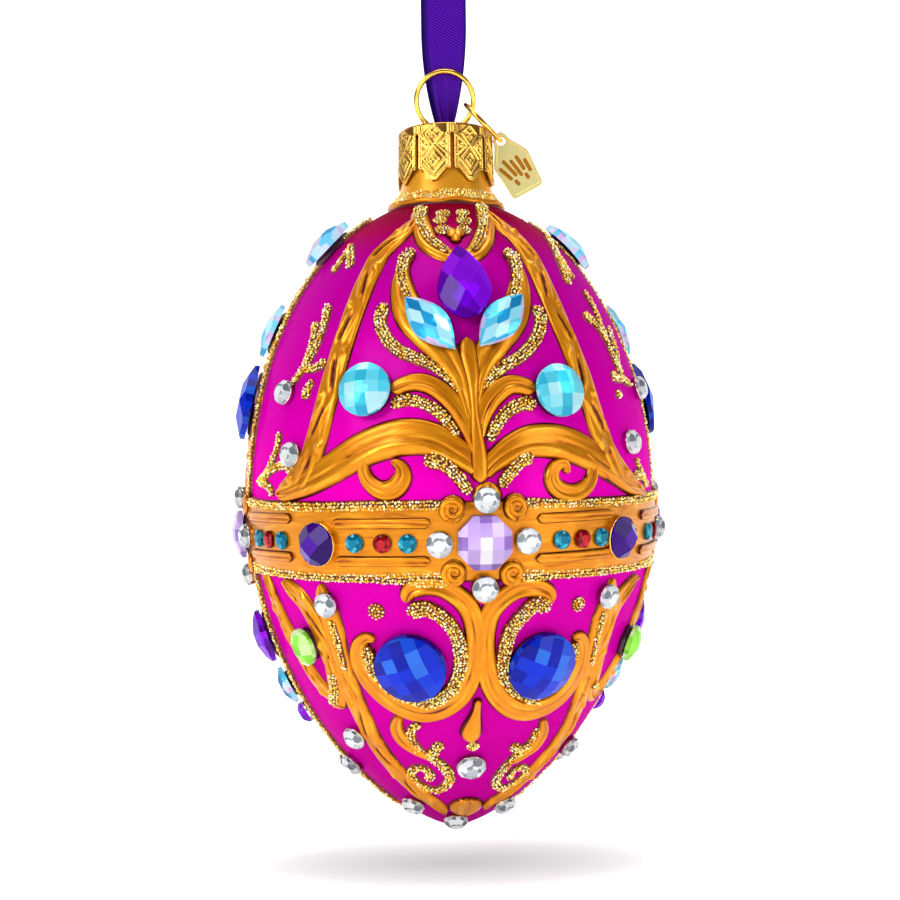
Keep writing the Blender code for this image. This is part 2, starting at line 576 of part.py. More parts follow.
def tag():
    """A flat plate, narrower at its eye, with an eye hole and three slots."""
    low = jump_centre() + JUMP_DROP.normalized() * JUMP_RADIUS
    down = Vector((sin(TAG_SWING), 0, -cos(TAG_SWING)))
    right = Vector((cos(TAG_SWING), 0, sin(TAG_SWING)))
    eye = low + down * (TAG_HOLE - JUMP_WIRE - GAP)
    lug = TAG_HOLE + TAG_RIM
    half = TAG_WIDTH / 2
    edge = [(lug * sin(a), -lug * cos(a)) for a in (radians(-60), radians(-20), radians(20), radians(60))]
    base = half * TAG_TAPER
    bevel, rise = TAG_CORNER
    plate = [(-half, TAG_SHOULDER)] + edge + [
        (half, TAG_SHOULDER), (base, TAG_LENGTH - rise), (base - bevel, TAG_LENGTH - lug),
        (-base + bevel, TAG_LENGTH - lug), (-base, TAG_LENGTH - rise)]
    count = len(plate)
    verts = [eye + right * x + down * y + Vector((0, side * TAG_THICKNESS / 2, 0))
             for side in (-1, 1) for x, y in plate]
    faces = [list(range(count)), [count + k for k in range(count)]]
    faces += [[k, (k + 1) % count, count + (k + 1) % count, count + k] for k in range(count)]
    body = add_mesh("tag", verts, faces, BRASS)
    bpy.ops.mesh.primitive_cylinder_add(vertices=8, radius=TAG_HOLE, depth=3 * TAG_THICKNESS, location=eye,
                                        rotation=(pi / 2, 0, 0))
    hole = bpy.context.object
    hole.name = "tag_eye"
    boolean(body, hole, "DIFFERENCE")
    for k in (-1, 0, 1):
        bpy.ops.mesh.primitive_cube_add(size=1)
        slot = bpy.context.object
        slot.name = f"tag_slot_{k + 1}"
        spot = eye + right * k * TAG_WIDTH * 0.27 + down * TAG_LENGTH * 0.48
        slot.matrix_world = (Matrix.Translation(spot) @ Matrix.Rotation(-TAG_SWING, 4, "Y")
                             @ Matrix.Diagonal((TAG_SLOT[0], 3 * TAG_THICKNESS, TAG_SLOT[1], 1)))
        boolean(body, slot, "DIFFERENCE")


# Ribbon, as (depth behind the hanger's plane, height) in metres, from the knot over the hook and back

RIBBON_STRAND = [(0.00035, -0.0288), (0.0004, -0.0276), (0.0007, -0.0260), (0.0011, -0.0240),
                 (0.00125, -0.0216), (0.0015, -0.0190), (0.0018, -0.0160), (0.0021, -0.0130),
                 (0.0024, -0.0100), (0.0026, -0.0070), (0.0027, -0.0045), (0.00255, -0.0022),
                 (0.0020, -0.0007), (0.0011, -0.00005)]
RIBBON_TOP = (0.0, 0.00017)


def ribbon_half_width(z):
    """Half width of the ribbon: full above the ring, gathered towards the knot."""
    share = min(1.0, max(0.0, (z - CAP_TOP - RIBBON_TIED) / RIBBON_GATHER))
    eased = share * (2 - share)
    return (RIBBON_FOOT_WIDTH + (RIBBON_WIDTH - RIBBON_FOOT_WIDTH) * eased) / 2


def ribbon():
    """A satin ribbon: one strip tied to the foot of the ring, with a loop to hang it by."""
    route = RIBBON_STRAND + [RIBBON_TOP] + [(-y, z) for y, z in reversed(RIBBON_STRAND)]
    verts, faces = [], []
    for k, (y, z) in enumerate(route):
        before, after = route[max(k - 1, 0)], route[min(k + 1, len(route) - 1)]
        along = Vector((0, after[0] - before[0], after[1] - before[1])).normalized()
        out = Vector((0, along.z, -along.y)) * (RIBBON_THICKNESS / 2)
        half = Vector((ribbon_half_width(z), 0, 0))
        spot = Vector((0, y, z))
        verts += [spot - half - out, spot + half - out, spot + half + out, spot - half + out]
    for k in range(len(route) - 1):
        for side in range(4):
            n = (side + 1) % 4
            faces.append([4 * k + side, 4 * k + 4 + side, 4 * k + 4 + n, 4 * k + n])
    last = 4 * (len(route) - 1)
    faces += [[0, 1, 2, 3], [last + 3, last + 2, last + 1, last]]
    body = add_mesh("ribbon", verts, faces, SATIN)
    bottom = CAP_TOP + GAP
    bpy.ops.mesh.primitive_cube_add(size=1, location=(0, 0, bottom + KNOT_HEIGHT / 2),
                                    scale=(2 * KNOT_HALF, 2 * KNOT_HALF, KNOT_HEIGHT))
    knot = bpy.context.object
    knot.name = "ribbon_knot"
    reach = LEG_SPREAD + 2 * WIRE_RADIUS + 2 * GAP
    near = WIRE_RADIUS + 2 * GAP
    ring = [(reach, near / 2), (LEG_SPREAD, near), (-LEG_SPREAD, near), (-reach, near / 2),
            (-reach, -near / 2), (-LEG_SPREAD, -near), (LEG_SPREAD, -near), (reach, -near / 2)]
    count = len(ring)
    verts, faces = [], []
    for wide in (0, KNOT_BAND):
        for z in (bottom + KNOT_INSET, bottom + KNOT_HEIGHT - KNOT_INSET):
            verts += [(x + wide * (1 if x > 0 else -1) * (abs(x) == reach), y * (1 + wide / near), z)
                      for x, y in ring]
    for k in range(count):
        n = (k + 1) % count
        inner, outer = (0, count), (2 * count, 3 * count)
        faces += [[inner[0] + k, inner[0] + n, inner[1] + n, inner[1] + k],
                  [outer[0] + k, outer[0] + n, outer[1] + n, outer[1] + k],
                  [inner[0] + k, inner[0] + n, outer[0] + n, outer[0] + k],
                  [inner[1] + k, inner[1] + n, outer[1] + n, outer[1] + k]]
    band = add_mesh("ribbon_tie", verts, faces)
    boolean(body, knot, "UNION")
    boolean(body, band, "UNION")


enamelled_egg()
stones()
cap()
wire_hanger()
jump_ring()
tag()
ribbon()
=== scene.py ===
"""Looks of the jewelled egg: lacquered blown glass, gold enamel, glitter, cut stones, cap, tag and ribbon.

The decoration is placed by degrees round the egg from a panel's middle and by millimetres above the tip.
"""
from math import atan2, cos, degrees, hypot, pi, radians, sin, sqrt

import bmesh
import bpy
import numpy as np
from mathutils import Matrix, Vector


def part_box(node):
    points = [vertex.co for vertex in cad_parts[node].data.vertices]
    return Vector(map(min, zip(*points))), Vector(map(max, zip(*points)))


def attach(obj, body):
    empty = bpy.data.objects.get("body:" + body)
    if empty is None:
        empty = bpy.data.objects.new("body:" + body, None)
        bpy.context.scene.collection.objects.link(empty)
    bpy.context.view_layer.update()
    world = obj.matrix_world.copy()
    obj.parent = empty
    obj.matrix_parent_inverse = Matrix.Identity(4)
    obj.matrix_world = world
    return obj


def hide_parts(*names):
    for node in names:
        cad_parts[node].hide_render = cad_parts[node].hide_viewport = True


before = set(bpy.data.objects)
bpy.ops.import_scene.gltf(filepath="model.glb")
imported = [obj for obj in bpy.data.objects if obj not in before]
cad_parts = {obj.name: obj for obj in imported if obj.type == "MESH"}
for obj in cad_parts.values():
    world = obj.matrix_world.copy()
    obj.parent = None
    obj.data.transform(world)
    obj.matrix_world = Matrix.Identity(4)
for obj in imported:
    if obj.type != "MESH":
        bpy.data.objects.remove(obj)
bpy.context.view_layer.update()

MM = 0.001
ROOT = "root"
chance = np.random.default_rng(11)

# Glass egg, in millimetres
WIDE = 29.0                     # greatest radius
LOWER, UPPER = 47.8, 43.3       # heights of the lower half and of the upper half ellipse
TIP_POWER = 1.4
SHOULDER_RADIUS, NECK_RADIUS = 8.3, 6.1
WALL = 1.0
TURN = 8.4                      # the front panel is turned against the hanger, in degrees
LACQUER_SHADING_SPAN = (2, 90)         # between these heights the lacquer's colour carries painted light and shade and turns darker and redder towards the neck
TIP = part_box("egg_glass")[0].z / MM
NECK_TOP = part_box("egg_glass")[1].z / MM
CAP_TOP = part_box("cap")[1].z / MM
SHOULDER = LOWER + UPPER * sqrt(1 - (SHOULDER_RADIUS / WIDE) ** 2)

FRONT, RIGHT, BACK, LEFT = 0, 90, 180, -90

# Camera, in millimetres
CAMERA = (0.0, -190.0, -76.0)
CAMERA_LEAN = 0.86              # the photographed egg leans to the left by this many degrees
CAMERA_LENS, FILM = 52, 36


# Materials

# How often a pattern repeats in a metre
LACQUER_WAVES = 60.0            # 17 mm long
GLUE_SPOTS = 2400.0             # 0.4 mm, as wide as a grain
BRASS_CLOUDS = 600.0            # 1.7 mm
FOIL_CLOUDS = 500.0             # 2 mm
BED_CLOUDS = 700.0              # 1.4 mm
BRUSH_CLOUDS = (300.0, 300.0, 60.0)         # 3 mm wide and 17 mm high

# How often a pattern repeats in a millimetre
STREAKS = (0.22, 1.1, 1.0)      # 4.5 mm long and 0.9 mm wide
TWILL, TWILL_SLANT = 0.85, 62   # threads 0.4 mm apart, coarser than real satin's so that they show

STAIN = 0.25                    # how much the clouds on the brass darken it


def linear(code):
    """An sRGB hex colour as linear values."""
    parts = [int(code[k:k + 2], 16) / 255 for k in (0, 2, 4)]
    return (*[c / 12.92 if c <= 0.04045 else ((c + 0.055) / 1.055) ** 2.4 for c in parts], 1.0)


def node(tree, kind, settings=None, links=None, stops=(), **values):
    """Add a node with its settings, its socket values, its links and, for a ramp, its colours."""
    made = tree.nodes.new(kind)
    for key, value in (settings or {}).items():
        setattr(made, key, value)
    for key, value in values.items():
        made.inputs[key.replace("_", " ")].default_value = value
    for key, source in (links or {}).items():
        tree.links.new(source, made.inputs[key])
    if stops:
        band = made.color_ramp
        while len(band.elements) < len(stops):
            band.elements.new(0.5)
        for element, (place, code) in zip(band.elements, stops):
            element.position = place
            element.color = linear(code)
    return made


def finish(name, **values):
    """A material with a Principled shader, returned with its tree."""
    made = bpy.data.materials.new(name)
    made.use_nodes = True
    shader = made.node_tree.nodes["Principled BSDF"]
    for key, value in values.items():
        shader.inputs[key.replace("_", " ")].default_value = value
    return made, made.node_tree, shader


def lacquered_glass():
    """Blown glass, silvered and dipped in deep magenta lacquer, smooth: painted light makes it brightest
    round the widest part, painted shade darkens it towards the tip and the shoulder, and it turns darker and
    redder towards the neck.
    """
    made, tree, shader = finish("magenta_lacquered_glass", Metallic=0.15, Roughness=0.4, Coat_Weight=0.03,
                                Coat_Roughness=0.15, Specular_IOR_Level=0.0, Specular_Tint=linear("F000B0"))
    place = node(tree, "ShaderNodeTexCoord").outputs["Object"]
    parts = node(tree, "ShaderNodeSeparateXYZ", links={"Vector": place})
    low, high = LACQUER_SHADING_SPAN
    rise = node(tree, "ShaderNodeMapRange", links={"Value": parts.outputs["Z"]}, From_Min=(TIP + low) * MM,
                From_Max=(TIP + high) * MM)
    # The colour by height is painted light and shade: brightest at the widest part, darker towards the tip
    # and the shoulder, then dark red at the neck.
    body = node(tree, "ShaderNodeValToRGB", links={"Fac": rise.outputs["Result"]},
                stops=[(0.0, "A80080"), (0.3, "BC0092"), (0.42, "C4009C"), (0.52, "DC00AE"), (0.7, "BC0096"),
                       (0.88, "A8008C"), (0.94, "980048"), (0.99, "700014")])
    tree.links.new(body.outputs["Color"], shader.inputs["Base Color"])
    waves = node(tree, "ShaderNodeTexNoise", links={"Vector": place}, Scale=LACQUER_WAVES, Detail=1.0)
    bump = node(tree, "ShaderNodeBump", links={"Height": waves.outputs["Fac"]}, Strength=0.04,
                Distance=0.001)
    tree.links.new(bump.outputs["Normal"], shader.inputs["Normal"])
    return made


def gold_enamel():
    """Pearly gold enamel piped from a cone: streaks run along each stroke; painted shade turns it brown in
    the hollows and near black on the rim round each stroke, and painted highlight lightens the crests.
    """
    made, tree, shader = finish("piped_gold_enamel", Metallic=0.55, Roughness=0.3, Coat_Weight=0.06,
                                Coat_Roughness=0.14, Specular_IOR_Level=0.3)
    flow = node(tree, "ShaderNodeAttribute", {"attribute_name": "flow"})
    hollow = node(tree, "ShaderNodeAttribute", {"attribute_name": "hollow"})
    along = node(tree, "ShaderNodeMapping", links={"Vector": flow.outputs["Vector"]}, Scale=STREAKS)
    streak = node(tree, "ShaderNodeTexNoise", links={"Vector": along.outputs["Vector"]}, Scale=1.0,
                  Detail=2.0, Roughness=0.5, Distortion=0.8)
    # The tone is the streaks less the painted shading, so the low stops of the ramp are painted shade.
    tone = node(tree, "ShaderNodeMath", {"operation": "SUBTRACT"},
                {0: streak.outputs["Fac"], 1: hollow.outputs["Fac"]})
    body = node(tree, "ShaderNodeValToRGB", links={"Fac": tone.outputs["Value"]},
                stops=[(0.0, "4A100A"), (0.12, "742E00"), (0.2, "AC5A00"), (0.3, "C47200"), (0.54, "D28204"),
                       (0.7, "E49A1A")])
    tree.links.new(body.outputs["Color"], shader.inputs["Base Color"])
    bump = node(tree, "ShaderNodeBump", links={"Height": streak.outputs["Fac"]}, Strength=0.18,
                Distance=0.0003)
    tree.links.new(bump.outputs["Normal"], shader.inputs["Normal"])
    return made


def glitter_grain():
    """Polyester glitter with a pale gold film: each grain has its own tone and throws back the light."""
    made, tree, shader = finish("pale_gold_glitter", Metallic=0.6, Roughness=0.3)
    tone = node(tree, "ShaderNodeAttribute", {"attribute_name": "tone"})
    body = node(tree, "ShaderNodeValToRGB", links={"Fac": tone.outputs["Fac"]},
                stops=[(0.0, "D09018"), (0.15, "F4BC30"), (0.4, "FFE060"), (0.7, "FFF0A0"), (1.0, "FFFCDC")])
    tree.links.new(body.outputs["Color"], shader.inputs["Base Color"])
    return made


def clouded(made, tree, shader, scale, stops, **values):
    """Give a material soft clouds of its colours, smaller as the scale grows."""
    place = node(tree, "ShaderNodeTexCoord").outputs["Object"]
    clouds = node(tree, "ShaderNodeTexNoise", links={"Vector": place}, Scale=scale, **values)
    body = node(tree, "ShaderNodeValToRGB", links={"Fac": clouds.outputs["Fac"]}, stops=stops)
    tree.links.new(body.outputs["Color"], shader.inputs["Base Color"])
    return made


def glitter_glue():
    """Clear glue over gold between the grains, coloured as a dark amber bed of painted shade."""
    return clouded(*finish("glitter_glue_in_shade", Metallic=0.2, Roughness=0.45), GLUE_SPOTS,
                   [(0.35, "480C00"), (0.55, "742800"), (0.75, "A86008")], Detail=1.0)


def neck_paint():
    """Satin gold paint brushed round the glass neck: the brush left faint clouds, drawn out upwards."""
    made, tree, shader = finish("satin_gold_paint", Metallic=0.5, Roughness=0.32, Coat_Weight=0.2)
    place = node(tree, "ShaderNodeTexCoord").outputs["Object"]
    mapped = node(tree, "ShaderNodeMapping", links={"Vector": place}, Scale=BRUSH_CLOUDS)
    clouds = node(tree, "ShaderNodeTexNoise", links={"Vector": mapped.outputs["Vector"]}, Scale=1.0,
                  Detail=2.0)
    body = node(tree, "ShaderNodeValToRGB", links={"Fac": clouds.outputs["Fac"]},
                stops=[(0.3, "D88E10"), (0.6, "F4AA22")])
    tree.links.new(body.outputs["Color"], shader.inputs["Base Color"])
    return made


def stamped_brass(name, light, dark, roughness):
    """Thin brass with a bright gold wash, a little clouded, and darker by the piece's painted shading:
    painted shade on the pressed-in flats and inside the cap, lighter on the raised die lines.
    """
    made, tree, shader = finish(name, Metallic=1.0, Roughness=roughness)
    place = node(tree, "ShaderNodeTexCoord").outputs["Object"]
    clouds = node(tree, "ShaderNodeTexNoise", links={"Vector": place}, Scale=BRASS_CLOUDS, Detail=2.0)
    # Painted shading stored on the piece: darker on flats and inside, lighter on raised lines.
    hollow = node(tree, "ShaderNodeAttribute", {"attribute_name": "hollow"})
    tone = node(tree, "ShaderNodeMath", {"operation": "MULTIPLY_ADD"},
                {0: clouds.outputs["Fac"], 2: hollow.outputs["Fac"]})
    tone.inputs[1].default_value = STAIN
    body = node(tree, "ShaderNodeValToRGB", links={"Fac": tone.outputs["Value"]},
                stops=[(0.1, light), (0.95, dark)])
    tree.links.new(body.outputs["Color"], shader.inputs["Base Color"])
    bump = node(tree, "ShaderNodeBump", links={"Height": clouds.outputs["Fac"]}, Strength=0.03,
                Distance=0.0001)
    tree.links.new(bump.outputs["Normal"], shader.inputs["Normal"])
    return made


def gem_glass(colour, tones):
    """Moulded stone, half clear: each facet's colour is painted lighter or darker, as painted light and
    reflection thrown back by the cut.
    """
    made, tree, shader = finish("stone_glass_" + colour, Roughness=0.01, IOR=1.32, Transmission_Weight=0.45,
                                Specular_IOR_Level=0.12)
    tone = node(tree, "ShaderNodeAttribute", {"attribute_name": "tone"})
    body = node(tree, "ShaderNodeValToRGB", links={"Fac": tone.outputs["Fac"]},
                stops=[(k / (len(tones) - 1), code) for k, code in enumerate(tones)])
    tree.links.new(body.outputs["Color"], shader.inputs["Base Color"])
    return made


def gem_foil(colour, code, pale):
    """Mirror foil on the back of a stone, in two tones of its colour."""
    return clouded(*finish("stone_foil_" + colour, Metallic=1.0, Roughness=0.08), FOIL_CLOUDS,
                   [(0.35, code), (0.65, pale)])


def glue_bed():
    """Dried jewellery glue under the stones and round the neck, coloured nearly black as painted shadow
    against the lacquer.
    """
    return clouded(*finish("stone_glue_painted_shadow", Roughness=0.3), BED_CLOUDS,
                   [(0.3, "1A0016"), (0.7, "480038")])


def satin_ribbon():
    """Polyester satin ribbon: slanting twill threads, with painted shade along each edge and over the far
    strand.
    """
    made, tree, shader = finish("purple_satin_ribbon", Roughness=0.45, Specular_IOR_Level=0.08)
    flow = node(tree, "ShaderNodeAttribute", {"attribute_name": "flow"})
    slant = node(tree, "ShaderNodeMapping", links={"Vector": flow.outputs["Vector"]},
                 Rotation=(0.0, 0.0, radians(TWILL_SLANT)))
    twill = node(tree, "ShaderNodeTexWave", links={"Vector": slant.outputs["Vector"]}, Scale=TWILL,
                 Distortion=0.5, Detail=2.0)
    # Painted shade stored on the ribbon: its edges and its far strand are darker.
    edge = node(tree, "ShaderNodeAttribute", {"attribute_name": "hollow"})
    tone = node(tree, "ShaderNodeMath", {"operation": "SUBTRACT"},
                {0: twill.outputs["Fac"], 1: edge.outputs["Fac"]})
    body = node(tree, "ShaderNodeValToRGB", links={"Fac": tone.outputs["Value"]},
                stops=[(0.0, "1C0058"), (0.45, "380088"), (1.0, "5808A8")])
    tree.links.new(body.outputs["Color"], shader.inputs["Base Color"])
    bump = node(tree, "ShaderNodeBump", links={"Height": twill.outputs["Fac"]}, Strength=0.4,
                Distance=0.0001)
    tree.links.new(bump.outputs["Normal"], shader.inputs["Normal"])
    return made


LACQUER, ENAMEL, GRAIN, SHADED_GLUE, PAINT = (lacquered_glass(), gold_enamel(), glitter_grain(), glitter_glue(),
                                       neck_paint())
CAP_BRASS = stamped_brass("stamped_cap_brass", "FAC860", "7A4208", 0.27)
WIRE_BRASS = stamped_brass("drawn_brass_wire", "E8B850", "B07C28", 0.18)
TAG_BRASS = stamped_brass("polished_tag_brass", "FFF2A8", "F6CC60", 0.42)
# A darker copy of the tag's brass, for painted shade on the groove floors.
GROOVE_SHADE_BRASS = stamped_brass("tag_groove_shade_brass", "C88420", "8C4C08", 0.45)
SHADOW_GLUE, SATIN = glue_bed(), satin_ribbon()
GEM_TONES = {                   # the facets from painted shade to painted light, then the foil's two tones
    "purple": (("400070", "6800B0", "8808E0", "A820F8", "D484FF"), "9010E8", "D050FF"),
    "violet": (("280060", "4C0098", "5C00C0"), "5000B0", "7810E0"),
    "aqua": (("18A0C8", "50D4EC", "88F0FF", "E0FFFF"), "60DCF4", "B0F4FF"),
    "aurora": (("004C8C", "28B0E8", "80E8FF", "D0FAFF", "E8B0F0", "FFFFFF"), "70DCFF", "E0F8FF"),
    "blue": (("000878", "0018A8", "0838D8", "4090F0"), "0020D0", "2868F8"),
    "lilac": (("8C6CB4", "C4A8E4", "E8D4F6", "FFFFFF"), "C8A0F0", "F0E0FF"),
    "green": (("70C020", "A4F05C", "D8FFA8", "FFFFF0"), "98E848", "E0FFA0"),
    "clear": (("6C747C", "B4BCC4", "ECF0F4", "FFFFFF"), "D0D8E0", "FFFFFF"),
    "red": (("500004", "980008", "E02838"), "A80010", "E02038"),
    "zircon": (("004C64", "0088A8", "60E8F0"), "0098B8", "50D8F0")}
SEAT_FOIL = gem_foil("seat", "8C7468", "D8D0C8")
GEMS = {name: (gem_glass(name, tones), gem_foil(name, foil, pale))
        for name, (tones, foil, pale) in GEM_TONES.items()}


# The glass surface

def glass_radius(drawn):
    """Radius of the glass at heights above the tip."""
    drawn = np.asarray(drawn, float)
    low = np.clip((LOWER - drawn) / LOWER, 0, 1)
    high = np.clip((drawn - LOWER) / UPPER, 0, 1)
    return np.where(drawn < LOWER, WIDE * (1 - low ** 2) ** (TIP_POWER / 2), WIDE * np.sqrt(1 - high ** 2))


def lean(drawn):
    """How fast the radius grows with height."""
    return (glass_radius(drawn + 0.05) - glass_radius(drawn - 0.05)) / 0.1


def on_glass(turn, drawn, rise):
    """Points above the glass, in millimetres."""
    turn, drawn, rise = np.broadcast_arrays(np.asarray(turn, float), drawn, rise)
    angle = np.radians(turn + TURN)
    slope = lean(drawn)
    size = np.sqrt(1 + slope ** 2)
    radius = glass_radius(drawn) + rise / size
    height = TIP + drawn - rise * slope / size
    return np.stack([radius * np.sin(angle), -radius * np.cos(angle), height], axis=-1)


def seen(points, rise):
    """Places on the front panel, moved so that what stands above the glass shows where it was drawn."""
    rows = np.array(points, float)
    angle = np.radians(rows[:, 0] + TURN)
    slope = lean(rows[:, 1])
    radius = glass_radius(rows[:, 1])
    foot = np.stack([radius * np.sin(angle), -radius * np.cos(angle), TIP + rows[:, 1]], axis=1)
    normal = np.stack([np.sin(angle), -np.cos(angle), -slope], axis=1) / np.sqrt(1 + slope ** 2)[:, None]
    view = np.array(CAMERA) - foot
    view /= np.linalg.norm(view, axis=1)[:, None]
    facing = np.maximum((view * normal).sum(axis=1), 0.4)
    shift = rise * (view / facing[:, None] - normal)
    side = np.stack([np.cos(angle), np.sin(angle), np.zeros(len(rows))], axis=1)
    rows[:, 0] += np.degrees((shift * side).sum(axis=1) / radius)
    rows[:, 1] += (shift * np.cross(normal, side)).sum(axis=1) / np.sqrt(1 + slope ** 2)
    return rows


def placing(turn, drawn, rise, spin=0.0):
    """Matrix that stands a shape on the glass: its Z is the normal, its Y points up along the egg."""
    point = Vector(on_glass(turn, drawn, rise).tolist()) * MM
    angle = radians(turn + TURN)
    outward = Vector((sin(angle), -cos(angle), 0))
    side = Vector((cos(angle), sin(angle), 0))
    normal = (outward - Vector((0, 0, float(lean(drawn))))).normalized()
    frame_of = Matrix((side, normal.cross(side), normal)).transposed().to_4x4()
    return Matrix.Translation(point) @ frame_of @ Matrix.Rotation(-radians(spin), 4, "Z")


# Building meshes

def new_object(name, data):
    """An object in the scene."""
    body = bpy.data.objects.new(name, data)
    bpy.context.scene.collection.objects.link(body)
    return body


def mesh_piece(name, points, faces, material, slot, attributes=None, smooth=True, outward=True):
    """A piece from points in millimetres; it rides on the egg."""
    mesh = bpy.data.meshes.new(name)
    mesh.from_pydata((np.asarray(points) * MM).tolist(), [], faces)
    for key, (kind, values) in (attributes or {}).items():
        made = mesh.attributes.new(key, kind, "POINT")
        made.data.foreach_set("vector" if kind == "FLOAT_VECTOR" else "value", np.ravel(values))
    body = new_object(name, mesh)
    mesh.materials.append(material)
    if outward:
        work = bmesh.new()
        work.from_mesh(mesh)
        bmesh.ops.recalc_face_normals(work, faces=work.faces)
        work.to_mesh(mesh)
        work.free()
    if smooth:
        mesh.shade_smooth()
    else:
        mesh.shade_flat()
    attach(body, ROOT)
    return body


def sheet_faces(rows, columns, start=0):
    """Faces of a closed sheet: the upper skin, the lower skin after it, and the edge between them."""
    count = rows * columns
    grid = np.arange(count).reshape(rows, columns) + start
    upper = np.stack([grid[:-1, :-1], grid[:-1, 1:], grid[1:, 1:], grid[1:, :-1]], axis=-1).reshape(-1, 4)
    border = np.concatenate([grid[0], grid[1:, -1], grid[-1, -2::-1], grid[-2:0:-1, 0]])
    near = np.roll(border, -1)
    edge = np.stack([border, border + count, near + count, near], axis=1)
    return upper.tolist() + (upper[:, ::-1] + count).tolist() + edge.tolist()


def circle(radius, height, half, count):
    """Round profile of a ring about the axis, at a height above the tip, with its half thickness."""
    ways = [2 * pi * k / count for k in range(count)]
    return [(radius + half * cos(a), TIP + height + half * sin(a)) for a in ways]


def stroke_line(points, step):
    """Evenly spaced (turn, height, width) rows on a smooth curve through drawn rows, and the way run."""
    points = np.array(points, float)
    ends = np.vstack([2 * points[0] - points[1], points, 2 * points[-1] - points[-2]])
    t = np.linspace(0, 1, 24, endpoint=False)[:, None]
    rows = [0.5 * (2 * b + (c - a) * t + (2 * a - 5 * b + 4 * c - d) * t ** 2
                   + (3 * b - a - 3 * c + d) * t ** 3)
            for a, b, c, d in zip(ends, ends[1:], ends[2:], ends[3:])]
    rows = np.vstack(rows + [points[-1:]])
    middle = (rows[1:, 1] + rows[:-1, 1]) / 2
    run = np.hypot(np.radians(np.diff(rows[:, 0])) * glass_radius(middle),
                   np.diff(rows[:, 1]) * np.sqrt(1 + lean(middle) ** 2))
    run = np.concatenate([[0], np.cumsum(run)])
    places = np.linspace(0, run[-1], max(3, int(round(run[-1] / step)) + 1))
    return np.stack([np.interp(places, run, rows[:, k]) for k in range(3)], axis=1), places


def across(line, offset, closed=False):
    """Turn and height of places beside a line, offset in millimetres to its right."""
    radius = glass_radius(line[:, 1])
    slant = np.sqrt(1 + lean(line[:, 1]) ** 2)
    if closed:
        step_x, step_y = np.ones(len(line)), np.zeros(len(line))
    else:
        step_x = np.gradient(np.radians(line[:, 0])) * radius
        step_y = np.gradient(line[:, 1]) * slant
    size = np.hypot(step_x, step_y) + 1e-9
    turn = line[:, :1] + np.degrees(offset * (step_y / size)[:, None] / radius[:, None])
    drawn = line[:, 1:2] - offset * (step_x / size)[:, None] / slant[:, None]
    return turn, drawn


def round_ends(places, width):
    """Widths of a stroke with round ends."""
    reach = np.maximum(np.interp([0, places[-1]], places, width) / 2, 0.15)
    for near, size in ((places, reach[0]), (places[-1] - places, reach[1])):
        width = width * np.sqrt(np.clip(1 - np.clip(1 - near / size, 0, 1) ** 2, 0.02, 1))
    return width


SHADOW_RIM = 0.14                   # low rim round each stroke's foot, coloured dark as a painted shadow where the stroke meets the lacquer


class Strokes:
    """Collects piped strokes on the glass and makes them one piece."""

    def __init__(self):
        self.points, self.faces, self.flow, self.hollow, self.count = [], [], [], [], 0

    def add(self, centre, points, shape, step=0.26, samples=13, base=0.0, closed=False, shift=0.0):
        line, places = stroke_line(points, step)
        line[:, 0] += centre
        width = line[:, 2] if closed else round_ends(places, line[:, 2])
        if closed:
            line, places, width = line[:-1], places[:-1], width[:-1]
        t = np.sin(np.linspace(-pi / 2, pi / 2, samples)) * 0.6 + np.linspace(-1, 1, samples) * 0.4
        offset = width[:, None] / 2 * t[None, :]
        turn, drawn = across(line, offset, closed)
        rise, hollow = shape(places[:, None] + shift, np.broadcast_to(t, offset.shape), offset)
        top = on_glass(turn, drawn, base + rise)
        edge = offset[:, [0, -1]] + np.array([[-SHADOW_RIM, SHADOW_RIM]])
        edge_turn, edge_drawn = across(line, edge, closed)
        flange = on_glass(edge_turn, edge_drawn, 0.03)
        foot = on_glass(edge_turn, edge_drawn, -0.25)
        rings = np.concatenate([foot[:, :1], flange[:, :1], top, flange[:, 1:], foot[:, 1:]], axis=1)
        count, per = rings.shape[:2]
        self.points.append(rings.reshape(-1, 3))
        # The rim and its foot are fully dark: painted shadow.
        dark = np.ones((count, 2))
        self.hollow.append(np.concatenate([dark, hollow, dark], axis=1).ravel())
        left, right = offset[:, :1], offset[:, -1:]
        spread = np.concatenate([left, left, offset, right, right], axis=1)
        run = np.broadcast_to(places[:, None] + shift, spread.shape)
        self.flow.append(np.stack([run, spread, np.full(spread.shape, shift)], axis=-1).reshape(-1, 3))
        grid = self.count + np.arange(count * per).reshape(count, per)
        rows = np.arange(count if closed else count - 1)
        nxt = (rows + 1) % count
        for k in range(per):
            n = (k + 1) % per
            quads = np.stack([grid[rows, k], grid[nxt, k], grid[nxt, n], grid[rows, n]], axis=1)
            self.faces += quads.tolist()
        if not closed:
            self.faces += [grid[0].tolist(), grid[-1, ::-1].tolist()]
        self.count += count * per

    def make(self, name, material, slot="glass_lacquered"):
        """One piece of all the strokes, with the values that its material reads."""
        values = {"flow": ("FLOAT_VECTOR", np.vstack(self.flow)),
                  "hollow": ("FLOAT", np.concatenate(self.hollow))}
        return mesh_piece(name, np.vstack(self.points), self.faces, material, slot, values)


RELIEF = 0.62                   # height of the enamel above the glass
RIB_RELIEF = 0.74
RIB_SPREAD = 1.12               # the ribs spread a little past their drawn width
STREAK_SHIFT = 17.3             # each stroke's streaks start elsewhere in the noise, by this much
TIP_DAB = (5.6, 4.6)            # height and size of the dab over the tip


def brow(t, power=8):
    """Section of a stroke: flat on top with round shoulders."""
    return np.sqrt(np.clip(1 - np.abs(t) ** power, 0, 1))


def bump_at(t, middle, half):
    """A smooth bump at one place across a stroke."""
    return np.exp(-((t - middle) / half) ** 2)


